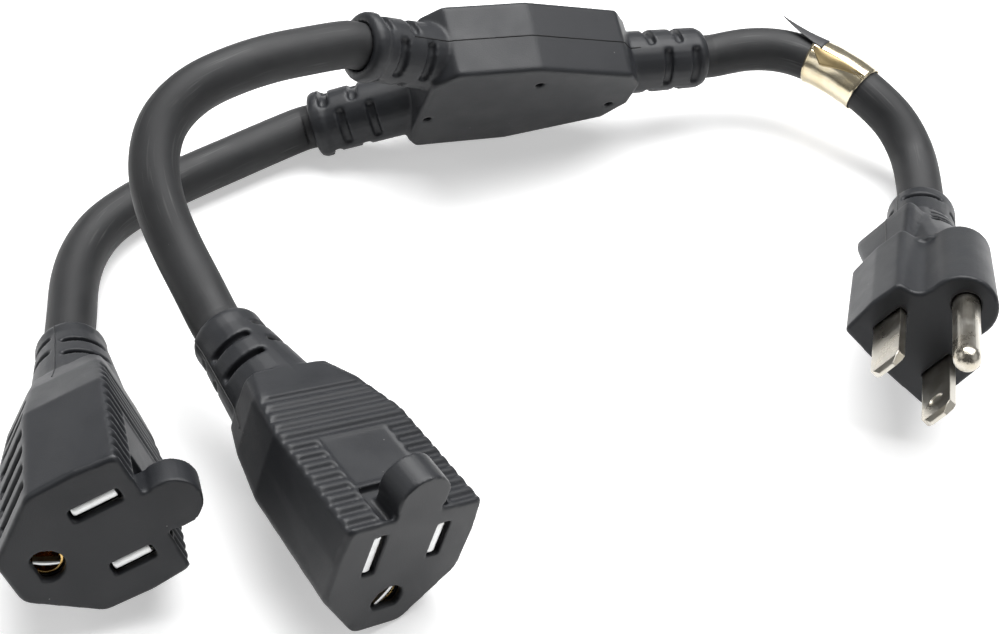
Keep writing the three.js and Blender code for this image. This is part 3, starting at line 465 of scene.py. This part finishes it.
def glossRange(tree, value, span):
    node = tree.nodes.new("ShaderNodeMapRange")
    tree.links.new(value, node.inputs["Value"])
    node.inputs["To Min"].default_value, node.inputs["To Max"].default_value = span
    return node.outputs["Result"]


# Skin and dust groups laid on the same coordinates, with the settings' sizes
def skinOn(tree, where, settings):
    return useGroup(
        tree, "mouldSkin", where, Grain_Scale=settings["grainScale"], Mottle_Scale=settings["mottleScale"]
    )


def dustOn(tree, where, settings):
    dust = useGroup(
        tree, "dustSpecks", where, Spacing_Scale=settings["dustScale"], Size=settings["dustSize"]
    )
    return mathNode(tree, "MULTIPLY", dust["Mask"], settings["dustShare"])


def objectVector(tree):
    return tree.nodes.new("ShaderNodeTexCoord").outputs["Object"]


def pvcFinish(name, settings):
    material, tree, shader = startMaterial(name)
    where = objectVector(tree)
    skin = skinOn(tree, where, settings)
    body = mixColour(tree, skin["Mottle"], settings["dark"], settings["light"])
    dusty = mixColour(tree, dustOn(tree, where, settings), body, settings["dust"])
    tree.links.new(dusty, shader.inputs["Base Color"])
    gloss = glossRange(tree, skin["Mottle"], settings["roughness"])
    tree.links.new(gloss, shader.inputs["Roughness"])
    shader.inputs["Specular IOR Level"].default_value = settings["specular"]
    edge = roundedEdge(tree, settings["edge"])
    tree.links.new(bumpFrom(tree, skin["Height"], settings["grain"], edge), shader.inputs["Normal"])
    return material


mouldedPvc = pvcFinish("mouldedPvc", {
    "dark": (0.0165, 0.0178, 0.0210), "light": (0.0225, 0.0240, 0.0275),
    "dust": (0.25, 0.25, 0.24), "dustScale": 330.0, "dustSize": 0.045, "dustShare": 0.5,
    "grainScale": 3200.0, "mottleScale": 120.0, "grain": 0.22,
    "roughness": (0.42, 0.54), "specular": 0.42, "edge": 0.0003,
})
corePlastic = pvcFinish("corePlastic", {
    "dark": (0.010, 0.010, 0.011), "light": (0.014, 0.014, 0.015),
    "dust": (0.12, 0.12, 0.12), "dustScale": 330.0, "dustSize": 0.04, "dustShare": 0.3,
    "grainScale": 2600.0, "mottleScale": 140.0, "grain": 0.2,
    "roughness": (0.5, 0.62), "specular": 0.3, "edge": 0.0002,
})


def jacketFinish(name, settings):
    material, tree, shader = startMaterial(name)
    lay = tree.nodes.new("ShaderNodeAttribute")
    lay.attribute_name = "lay"
    where = lay.outputs["Vector"]
    skin = skinOn(tree, where, settings)
    drag = useGroup(
        tree, "scuffs", where,
        Stretch=settings["stretch"], Scale=settings["scuffScale"], Share=settings["scuffShare"],
    )
    body = mixColour(tree, skin["Mottle"], settings["dark"], settings["light"])
    rubbing = mathNode(tree, "MULTIPLY", drag["Mask"], settings["scuffDepth"])
    rubbed = mixColour(tree, rubbing, body, settings["scuff"])
    dusty = mixColour(tree, dustOn(tree, where, settings), rubbed, settings["scuff"])
    tree.links.new(dusty, shader.inputs["Base Color"])
    gloss = glossRange(tree, skin["Mottle"], settings["roughness"])
    tree.links.new(gloss, shader.inputs["Roughness"])
    shader.inputs["Specular IOR Level"].default_value = settings["specular"]
    lines = bumpFrom(tree, drag["Height"], settings["lines"])
    tree.links.new(bumpFrom(tree, skin["Height"], settings["grain"], lines), shader.inputs["Normal"])
    return material


cordJacket = jacketFinish("cordJacket", {
    "dark": (0.026, 0.0266, 0.0280), "light": (0.036, 0.0366, 0.0380), "scuff": (0.13, 0.13, 0.13),
    "grainScale": 3600.0, "mottleScale": 160.0, "stretch": (1.0, 1.0, 0.05), "scuffScale": 1500.0,
    "scuffShare": 0.58, "scuffDepth": 0.40, "roughness": (0.50, 0.62), "specular": 0.34,
    "dustScale": 420.0, "dustSize": 0.04, "dustShare": 0.3, "lines": 0.16, "grain": 0.12,
})


metalScratches = {"share": 0.55, "depth": 0.35}


def metalFinish(name, settings):
    material, tree, shader = startMaterial(name)
    where = objectVector(tree)
    drag = useGroup(
        tree, "scuffs", where,
        Stretch=settings["stretch"], Scale=settings["lineScale"], Share=metalScratches["share"],
    )
    cloud = useGroup(tree, "mouldSkin", where, Mottle_Scale=settings["cloudScale"])
    tint = mixColour(tree, cloud["Mottle"], settings["warm"], settings["cool"])
    scratching = mathNode(tree, "MULTIPLY", drag["Mask"], metalScratches["depth"])
    tree.links.new(mixColour(tree, scratching, tint, settings["scratch"]), shader.inputs["Base Color"])
    gloss = glossRange(tree, cloud["Mottle"], settings["roughness"])
    tree.links.new(gloss, shader.inputs["Roughness"])
    shader.inputs["Metallic"].default_value = 1.0
    edge = roundedEdge(tree, settings["edge"])
    tree.links.new(bumpFrom(tree, drag["Height"], settings["lines"], edge), shader.inputs["Normal"])
    return material


nickelSilver = metalFinish("nickelSilver", {
    "warm": (0.50, 0.46, 0.38), "cool": (0.62, 0.60, 0.55), "scratch": (0.36, 0.33, 0.28),
    "stretch": (1.0, 0.12, 1.0), "lineScale": 1600.0, "cloudScale": 210.0, "lines": 0.10,
    "roughness": (0.24, 0.38), "edge": 0.00025,
})
contactBrass = metalFinish("contactBrass", {
    "warm": (0.60, 0.36, 0.12), "cool": (0.80, 0.58, 0.24), "scratch": (0.35, 0.20, 0.08),
    "stretch": (1.0, 0.2, 1.0), "lineScale": 1300.0, "cloudScale": 260.0, "lines": 0.12,
    "roughness": (0.20, 0.34), "edge": 0.0002,
})
crimpTin = metalFinish("crimpTin", {
    "warm": (0.58, 0.57, 0.54), "cool": (0.70, 0.70, 0.69), "scratch": (0.40, 0.40, 0.39),
    "stretch": (0.3, 1.0, 1.0), "lineScale": 1300.0, "cloudScale": 300.0, "lines": 0.12,
    "roughness": (0.30, 0.45), "edge": 0.0002,
})


wireLook = {"grainScale": 3000.0, "mottleScale": 300.0, "grain": 0.1, "roughness": 0.35}


def wireFinish(name, dark, light):
    material, tree, shader = startMaterial(name)
    skin = skinOn(tree, objectVector(tree), wireLook)
    tree.links.new(mixColour(tree, skin["Mottle"], dark, light), shader.inputs["Base Color"])
    tree.links.new(bumpFrom(tree, skin["Height"], wireLook["grain"]), shader.inputs["Normal"])
    shader.inputs["Roughness"].default_value = wireLook["roughness"]
    return material


wireGreen = wireFinish("wireGreen", (0.02, 0.20, 0.06), (0.03, 0.26, 0.08))
wireWhite = wireFinish("wireWhite", (0.62, 0.61, 0.57), (0.72, 0.71, 0.68))
wireBlack = wireFinish("wireBlack", (0.012, 0.012, 0.013), (0.020, 0.020, 0.021))


foilLook = {"grainScale": 1500.0, "mottleScale": 150.0, "grain": 0.05, "creaseDepth": 0.0006}


def foilFinish(name, settings):
    material, tree, shader = startMaterial(name)
    where = objectVector(tree)
    cloud = skinOn(tree, where, foilLook)
    tint = mixColour(tree, cloud["Mottle"], settings["warm"], settings["cool"])
    tree.links.new(tint, shader.inputs["Base Color"])
    shader.inputs["Metallic"].default_value = settings["metallic"]
    shader.inputs["Roughness"].default_value = settings["roughness"]
    creases = noiseNode(tree, where, settings["creaseScale"], 1.0, 0.4)
    broad = bumpFrom(tree, creases, settings["crease"], distance=foilLook["creaseDepth"])
    tree.links.new(bumpFrom(tree, cloud["Height"], foilLook["grain"], broad), shader.inputs["Normal"])
    return material


labelFoil = foilFinish("labelFoil", {
    "warm": (0.66, 0.55, 0.34), "cool": (0.82, 0.76, 0.61), "metallic": 0.9, "roughness": 0.20,
    "creaseScale": 120.0, "crease": 0.16,
})
# Darker brown foil for the fold: painted shade on the turned-back foil
foldFoilPaintedShade = foilFinish("foldFoilPaintedShade", {
    "warm": (0.26, 0.18, 0.07), "cool": (0.44, 0.35, 0.19), "metallic": 0.7, "roughness": 0.30,
    "creaseScale": 220.0, "crease": 0.3,
})
# Plain dark grey for the label's tail: painted shade standing in for the shadowed foil
labelTailPaintedShade = foilFinish("labelTailPaintedShade", {
    "warm": (0.035, 0.035, 0.037), "cool": (0.055, 0.055, 0.058), "metallic": 0.0, "roughness": 0.5,
    "creaseScale": 160.0, "crease": 0.2,
})
print("finishes made")

cordParts = {  # what goes with each cord's far end
    end: [name for name in nodes if name.startswith(end + "_") and not name.endswith(("_body", "_cord"))]
    for end in cordEnds
}
for cordName, path in cordPaths.items():
    links = [(i, i + 1) for i in range(len(path) - 1)]
    piece = lineObject(f"{cordName}_jacket", [p * mm for p in path], links)
    sweepLine(piece, cordSettings["diameter"] / 2, cordJacket, cordSettings)
    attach(piece, "root")
    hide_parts(f"{cordName}_cord")
print("cords swept:", {k: len(v) for k, v in cordPaths.items()})


def pathLength(points):
    return sum((b - a).length for a, b in zip(points, points[1:]))


skinSettings = {
    "weld": 0.0005,
    "grid": {"socket_a": 0.35, "socket_b": 0.35, "plug": 0.34, "junction": 0.40},
    "soften": 0.5,
    "passes": 2,
    "finish": mouldedPvc,
}


# A finely gridded copy of a moulding whose edges are rounded as a soft plastic's are
def softened(placeName, settings):
    nodeName = placeName + "_body"
    matrix = placeMatrix(placeName)
    matrix.translation *= mm
    shape = bmesh.new()
    shape.from_mesh(nodes[nodeName].data)
    bmesh.ops.remove_doubles(shape, verts=shape.verts, dist=settings["weld"] * mm)
    shape.transform(matrix.inverted())
    mesh = bpy.data.meshes.new(nodeName + "_skin")
    shape.to_mesh(mesh)
    shape.free()
    thing = bpy.data.objects.new(nodeName + "_skin", mesh)
    scene.collection.objects.link(thing)
    grid = thing.modifiers.new("grid", "REMESH")
    grid.mode = "VOXEL"
    grid.voxel_size = settings["grid"][placeName] * mm
    grid.use_smooth_shade = True
    soften = thing.modifiers.new("soften", "SMOOTH")
    soften.factor = settings["soften"]
    soften.iterations = settings["passes"]
    bakeDown(thing)
    thing.data.transform(matrix)
    thing.data.materials.clear()
    thing.data.materials.append(settings["finish"])
    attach(thing, "root")
    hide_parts(nodeName)
    return thing


skins = {}
for placeName in skinSettings["grid"]:
    skins[placeName] = softened(placeName, skinSettings)
    print(placeName, "skin faces:", len(skins[placeName].data.polygons))

beadLook = {"grainScale": 2400.0, "mottleScale": 420.0, "darker": 0.6, "grain": 0.4}


def plainFinish(name, colour, roughness):
    material, tree, shader = startMaterial(name)
    skin = skinOn(tree, objectVector(tree), beadLook)
    darker = tuple(v * beadLook["darker"] for v in colour)
    tree.links.new(mixColour(tree, skin["Mottle"], darker, colour), shader.inputs["Base Color"])
    tree.links.new(bumpFrom(tree, skin["Height"], beadLook["grain"]), shader.inputs["Normal"])
    shader.inputs["Roughness"].default_value = roughness
    return material


partingSettings = {
    "radius": 0.13,
    "sides": 6,
    "waver": 0.08,
    "waverSize": 1.5,
    "start": 0.15,
    "clear": 16.0,
}
bootLine = {"normal": (0, 1, 0), "axis": 2}
partingLines = {  # each plane in its moulding's own frame, and the stretch where its line shows
    "junction": {"normal": (0, 0, 1), "axis": 0, "at": (0, 0, 0), "reach": (-26.0, 27.0), "shade": "dark"},
    "socket_a": {**bootLine, "at": (0, 3.2, 0), "reach": (-60.0, -36.0), "shade": "plain"},
    "socket_b": {**bootLine, "at": (0, 3.2, 0), "reach": (-60.0, -36.0), "shade": "pale"},
    "plug": {**bootLine, "at": (0, 0.5, 0), "reach": (-57.0, -25.0), "shade": "pale"},
}
partingShades = {
    # dark: a near-black bead colour, painted shade standing in for the shaded groove of the junction's
    # seam
    "dark": plainFinish("partingPaintedShade", (0.007, 0.007, 0.008), 0.7),
    "plain": plainFinish("partingPlain", (0.024, 0.025, 0.028), 0.5),
    # pale: a lighter bead colour, a painted highlight where light catches the boots' seams
    "pale": plainFinish("partingPaintedHighlight", (0.060, 0.060, 0.060), 0.5),
}


# The line where a plane meets the outside of a moulding, as a fine raised bead
def partingLine(placeName, line, settings):
    skin = skins[placeName]
    matrix = placeMatrix(placeName)
    matrix.translation *= mm
    shape = bmesh.new()
    shape.from_mesh(skin.data)
    shape.transform(matrix.inverted())
    tree = BVHTree.FromBMesh(shape)
    cut = bmesh.ops.bisect_plane(
        shape,
        geom=list(shape.verts) + list(shape.edges) + list(shape.faces),
        dist=1e-7,
        plane_co=Vector(line["at"]) * mm,
        plane_no=line["normal"],
    )["geom_cut"]
    kept = []
    for edge in cut:
        if not isinstance(edge, bmesh.types.BMEdge) or not edge.link_faces:
            continue
        middle = (edge.verts[0].co + edge.verts[1].co) / 2
        along = middle[line["axis"]] / mm
        if not line["reach"][0] < along < line["reach"][1]:
            continue
        outward = sum((f.normal for f in edge.link_faces), Vector()).normalized()
        start = middle + outward * settings["start"] * mm
        if tree.ray_cast(start, outward, settings["clear"] * mm)[0] is None:
            kept.append(edge)
    order, corners = {}, []
    for edge in kept:
        for vert in edge.verts:
            if vert not in order:
                order[vert] = len(corners)
                corners.append(matrix @ vert.co)
    links = [tuple(order[v] for v in edge.verts) for edge in kept]
    shape.free()
    thing = lineObject(placeName + "_body_parting_line", corners, links)
    sweepLine(thing, settings["radius"], partingShades[line["shade"]], settings)
    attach(thing, "root")
    return thing


partingPieces = {name: partingLine(name, line, partingSettings) for name, line in partingLines.items()}
print("parting lines:", {k: len(v.data.polygons) for k, v in partingPieces.items()})

contactNickel = metalFinish("contactNickel", {
    "warm": (0.56, 0.56, 0.55), "cool": (0.66, 0.67, 0.67), "scratch": (0.44, 0.44, 0.43),
    "stretch": (1.0, 0.2, 1.0), "lineScale": 1700.0, "cloudScale": 420.0, "lines": 0.10,
    "roughness": (0.36, 0.48), "edge": 0.0001,
})


# A closed metal piece from corners in millimetres
def metalPiece(name, corners, faces, finish):
    mesh = bpy.data.meshes.new(name)
    mesh.from_pydata([tuple(c * mm) for c in corners], [], faces)
    shape = bmesh.new()
    shape.from_mesh(mesh)
    bmesh.ops.recalc_face_normals(shape, faces=shape.faces)
    shape.to_mesh(mesh)
    shape.free()
    mesh.materials.append(finish)
    thing = bpy.data.objects.new(name, mesh)
    scene.collection.objects.link(thing)
    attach(thing, "root")
    return thing


# The faces of a closed bar made of rings of corners
def barFaces(rings, around, base=0):
    faces = []
    for k in range(rings - 1):
        near, far = base + k * around, base + (k + 1) * around
        for i in range(around):
            j = (i + 1) % around
            faces.append((near + i, near + j, far + j, far + i))
    last = base + (rings - 1) * around
    faces.append(tuple(base + i for i in reversed(range(around))))
    faces.append(tuple(last + i for i in range(around)))
    return faces


lipSettings = {
    "pitch": 12.7,
    "slots": [(1, 8.7), (-1, 7.6)],
    "from": -0.35,
    "to": 1.15,
    "top": -0.45,
    "depth": 1.0,
    "short": 0.55,
    "crown": 0.16,
    "end": 0.3,
    "pinch": 0.12,
    "columns": 7,
}


# A folded strip edge with a rounded crown, one just inside each blade slot of a socket
def contactLips(placeName, settings):
    matrix = placeMatrix(placeName)
    corners, faces = [], []
    columns = settings["columns"]
    low = settings["top"] - settings["depth"]
    for side, length in settings["slots"]:
        centre = side * settings["pitch"] / 2
        half = length / 2 - settings["short"]
        stations = (-half, -half + settings["end"], half - settings["end"], half)
        faces += barFaces(len(stations), columns + 2, len(corners))
        for y in stations:
            pinch = settings["pinch"] if abs(y) == half else 0.0
            for i in range(columns):
                t = i / (columns - 1)
                x = centre + settings["from"] + (settings["to"] - settings["from"]) * t
                crown = settings["crown"] * (1 - (2 * t - 1) ** 2)
                corners.append(matrix @ Vector((x, y, settings["top"] + crown - pinch)))
            corners += [matrix @ Vector((centre + x, y, low)) for x in (settings["to"], settings["from"])]
    return metalPiece(placeName + "_contact_lips", corners, faces, contactNickel)


leafSettings = {
    "centre": (0.0, 11.9),
    "size": (4.2, 0.8),
    "turn": 58.0,
    "top": -1.1,
    "depth": 1.4,
    "bow": 0.2,
    "thin": 0.25,
    "crown": (0.4, 0.12),
    "steps": 9,
}


# The bowed leaf of the ground contact, seen edge on down the round hole
def groundLeaf(placeName, settings):
    matrix = placeMatrix(placeName)
    turn = math.radians(settings["turn"])
    across = Vector((math.cos(turn), math.sin(turn), 0))
    out = Vector((-across.y, across.x, 0))
    half, rise = settings["crown"]
    low = -settings["depth"]
    section = ((1, 0.0), (half, rise), (-half, rise), (-1, 0.0), (-1, low), (1, low))
    corners = []
    for i in range(settings["steps"]):
        t = 2 * i / (settings["steps"] - 1) - 1
        bow = out * (settings["bow"] * (1 - t * t))
        middle = Vector((*settings["centre"], 0)) + across * (settings["size"][0] / 2 * t) + bow
        thick = settings["size"][1] / 2 * (1 - settings["thin"] * t * t)
        for side, z in section:
            corners.append(matrix @ (middle + out * thick * side + Vector((0, 0, settings["top"] + z))))
    faces = barFaces(settings["steps"], len(section))
    return metalPiece(placeName + "_ground_leaf", corners, faces, contactNickel)


for name in ("socket_a", "socket_b"):
    cordParts[name] += [contactLips(name, lipSettings), groundLeaf(name, leafSettings)]
for name in cordParts:
    cordParts[name] += [skins[name], partingPieces[name]]
print("contact strips and leaves made")

labelSettings = {
    "from": 0.42,
    "to": 0.535,
    "stations": 22,
    "sides": 96,
    "radius": 5.06,
    "rise": 0.26,
    "ramp": 0.25,
    "overlapFrom": 318.0,
    "overlap": 70.0,
    "flat": 0.075,
    "flatTurn": 0.9,
    "wrinkle": 0.03,
    "waves": ((5, 7), (2, 9)),
    "thickness": 0.12,
}
foldSettings = {
    "from": 20.0,
    "ends": (0.03, 0.97),
    "near": 4.0,
    "far": 38.0,
    "peak": 0.30,
    "gap": 0.16,
    "lift": 0.30,
    "rows": 15,
    "columns": 8,
}
tailSettings = {
    "from": -20.0,
    "turn": 40.0,
    "twist": 2.0,
    "root": 2.5,
    "length": 9.6,
    "gap": 0.35,
    "lift": 1.5,
    "taper": 0.85,
    "rows": 14,
    "columns": 9,
}


def pointAtFraction(points, fraction):
    target = pathLength(points) * fraction
    for a, b in zip(points, points[1:]):
        span = (b - a).length
        if span >= target:
            return a.lerp(b, target / span), (b - a).normalized()
        target -= span
    return points[-1].copy(), (points[-1] - points[-2]).normalized()


def ringFrame(points, fraction):
    centre, along = pointAtFraction(points, fraction)
    up = (Vector((0, 0, 1)) - along * along.z).normalized()
    return centre, along, up, along.cross(up)


# A point round the cord, at an angle from the top and a distance from the cord's middle
def onRing(ring, angle, reach):
    centre, along, up, side = ring
    return centre + (up * math.cos(angle) + side * math.sin(angle)) * reach


def gridFaces(rows, columns):
    return [
        (r * columns + c, r * columns + c + 1, (r + 1) * columns + c + 1, (r + 1) * columns + c)
        for r in range(rows - 1)
        for c in range(columns - 1)
    ]


def sheetPiece(name, corners, faces, thickness, finish):
    mesh = bpy.data.meshes.new(name)
    mesh.from_pydata([tuple(c * mm) for c in corners], [], faces)
    for polygon in mesh.polygons:
        polygon.use_smooth = True
    thing = bpy.data.objects.new(name, mesh)
    scene.collection.objects.link(thing)
    wall = thing.modifiers.new("wall", "SOLIDIFY")
    wall.thickness = thickness * mm
    wall.offset = 0.0
    bakeDown(thing)
    thing.data.materials.clear()
    thing.data.materials.append(finish)
    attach(thing, "root")
    return thing


def wrapLabel(settings):
    corners = []
    turn = 360 + settings["overlap"]
    for i in range(settings["stations"]):
        t = i / (settings["stations"] - 1)
        ring = ringFrame(cordPaths["plug"], settings["from"] + (settings["to"] - settings["from"]) * t)
        for j in range(settings["sides"] + 1):
            share = j / settings["sides"]
            angle = math.radians(settings["overlapFrom"] + turn * share)
            raised = max(0.0, (share * turn - 360) / settings["overlap"] + settings["ramp"])
            radius = settings["radius"] + settings["rise"] * min(1.0, raised)
            waves = [math.sin(around * angle + along * t) for around, along in settings["waves"]]
            radius += settings["wrinkle"] * waves[0] * waves[1]
            flatness = max(0.0, math.cos(angle - settings["flatTurn"])) * math.sin(math.pi * t) ** 2
            corners.append(onRing(ring, angle, radius + settings["flat"] * flatness))
    faces = gridFaces(settings["stations"], settings["sides"] + 1)
    return sheetPiece("label_wrap", corners, faces, settings["thickness"], labelFoil)


# The turned-back corner that lies on the label beside its free edge, coloured a darker brown foil as
# painted shade
def labelFold(label, fold):
    corners = []
    first, last = fold["ends"]
    for i in range(fold["rows"]):
        t = i / (fold["rows"] - 1)
        place = first + (last - first) * t
        ring = ringFrame(cordPaths["plug"], label["from"] + (label["to"] - label["from"]) * place)
        share = t / fold["peak"] if t < fold["peak"] else (1 - t) / (1 - fold["peak"])
        width = fold["near"] + (fold["far"] - fold["near"]) * share
        for j in range(fold["columns"]):
            step = j / (fold["columns"] - 1)
            reach = label["radius"] + fold["gap"] + fold["lift"] * (1 - step)
            corners.append(onRing(ring, math.radians(fold["from"] + width * step), reach))
    faces = gridFaces(fold["rows"], fold["columns"])
    return sheetPiece("label_fold", corners, faces, label["thickness"], foldFoilPaintedShade)


# The loose end, which runs to a point and stands off the cord; its dark grey colour is painted shade on
# the foil
def labelEnd(label, tail):
    ring = ringFrame(cordPaths["plug"], label["from"])
    corners = []
    for i in range(tail["rows"]):
        t = i / (tail["rows"] - 1)
        width = (1 - t) ** tail["taper"]
        back = -tail["root"] + (tail["length"] + tail["root"]) * t
        reach = label["radius"] + tail["gap"] + tail["lift"] * t * t
        for j in range(tail["columns"]):
            turned = tail["turn"] * width * j / (tail["columns"] - 1)
            angle = math.radians(tail["from"] + tail["twist"] * t + turned)
            corners.append(onRing(ring, angle, reach) - ring[1] * back)
    faces = gridFaces(tail["rows"], tail["columns"])
    return sheetPiece("label_tail", corners, faces, label["thickness"], labelTailPaintedShade)


labelWrap = wrapLabel(labelSettings)
labelPieces = [labelWrap, labelFold(labelSettings, foldSettings), labelEnd(labelSettings, tailSettings)]
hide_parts("rating_label")
cordParts["plug"] += labelPieces
print("label wrapped")

def finishFor(name):
    if name.endswith("_wire"):
        return {"ground": wireGreen, "neutral": wireWhite, "line": wireBlack}[name.split("_")[-2]]
    if name.endswith("_crimp"):
        return crimpTin
    if name.endswith("carrier"):
        return corePlastic
    if name.endswith("ground_contact"):
        return contactBrass
    if name.endswith(("_contact", "_blade", "_pin")):
        return nickelSilver
    return mouldedPvc


for name, thing in nodes.items():
    thing.data.materials.clear()
    thing.data.materials.append(finishFor(name))

studioSettings = {
    "floorColour": 0.86,
    "floorShade": (0.11, 0.11, 0.115),
    "floorGlow": 0.45,
    "floorHalf": 3.0,
    "floorDrop": 0.0002,
    "skyLight": 0.12,
    "lamps": [
        {
            "name": "overhead", "power": 13.5, "size": (1.0, 0.6),
            "at": (0.10, 0.30, 0.75), "aim": (0.0, 0.0, 0.0),
        },
        {
            "name": "leftFill", "power": 1.0, "size": (0.5, 0.5),
            "at": (-0.75, -0.10, 0.45), "aim": (-0.02, 0.0, 0.02),
        },
        {
            "name": "rightFill", "power": 0.5, "size": (0.5, 0.5),
            "at": (0.7, -0.35, 0.4), "aim": (0.03, 0.0, 0.02),
        },
    ],
}


def makeLamp(settings):
    data = bpy.data.lights.new(settings["name"], "AREA")
    data.shape = "RECTANGLE"
    data.size, data.size_y = settings["size"]
    data.energy = settings["power"]
    lamp = bpy.data.objects.new(settings["name"], data)
    lamp.location = settings["at"]
    lamp.rotation_mode = "QUATERNION"
    lamp.rotation_quaternion = (Vector(settings["aim"]) - Vector(settings["at"])).to_track_quat("-Z", "Y")
    scene.collection.objects.link(lamp)


def seenDirectly(tree):
    path = tree.nodes.new("ShaderNodeLightPath")
    first = mathNode(tree, "MAXIMUM", path.outputs["Is Camera Ray"], path.outputs["Is Glossy Ray"])
    return mathNode(tree, "MAXIMUM", first, path.outputs["Is Transmission Ray"])


# Pale where it is seen, and darker for the light that it sends back up
def makeFloor(settings):
    half, drop = settings["floorHalf"], settings["floorDrop"]
    corners = [(-half, -half, -drop), (half, -half, -drop), (half, half, -drop), (-half, half, -drop)]
    mesh = bpy.data.meshes.new("studioFloor")
    mesh.from_pydata(corners, [], [(0, 1, 2, 3)])
    floor = bpy.data.objects.new("studioFloor", mesh)
    scene.collection.objects.link(floor)
    material, tree, shader = startMaterial("paleFloor")
    shader.inputs["Roughness"].default_value = 0.9
    shader.inputs["Specular IOR Level"].default_value = 0.0
    seen = seenDirectly(tree)
    tint = mixColour(tree, seen, settings["floorShade"], (settings["floorColour"],) * 3)
    tree.links.new(tint, shader.inputs["Base Color"])
    shader.inputs["Emission Color"].default_value = (1, 1, 1, 1)
    glow = mathNode(tree, "MULTIPLY", seen, settings["floorGlow"])
    tree.links.new(glow, shader.inputs["Emission Strength"])
    mesh.materials.append(material)


def makeWorld(settings):
    world = bpy.data.worlds.new("studioWorld")
    scene.world = world
    world.use_nodes = True
    tree = world.node_tree
    background = tree.nodes["Background"]
    background.inputs["Color"].default_value = (1.0, 1.0, 1.0, 1.0)
    seen = tree.nodes.new("ShaderNodeLightPath").outputs["Is Camera Ray"]
    strength = mathNode(tree, "MAXIMUM", seen, settings["skyLight"])
    tree.links.new(strength, background.inputs["Strength"])


for lampSettings in studioSettings["lamps"]:
    makeLamp(lampSettings)
makeFloor(studioSettings)
makeWorld(studioSettings)
scene.view_settings.view_transform = "Standard"
print("studio set")
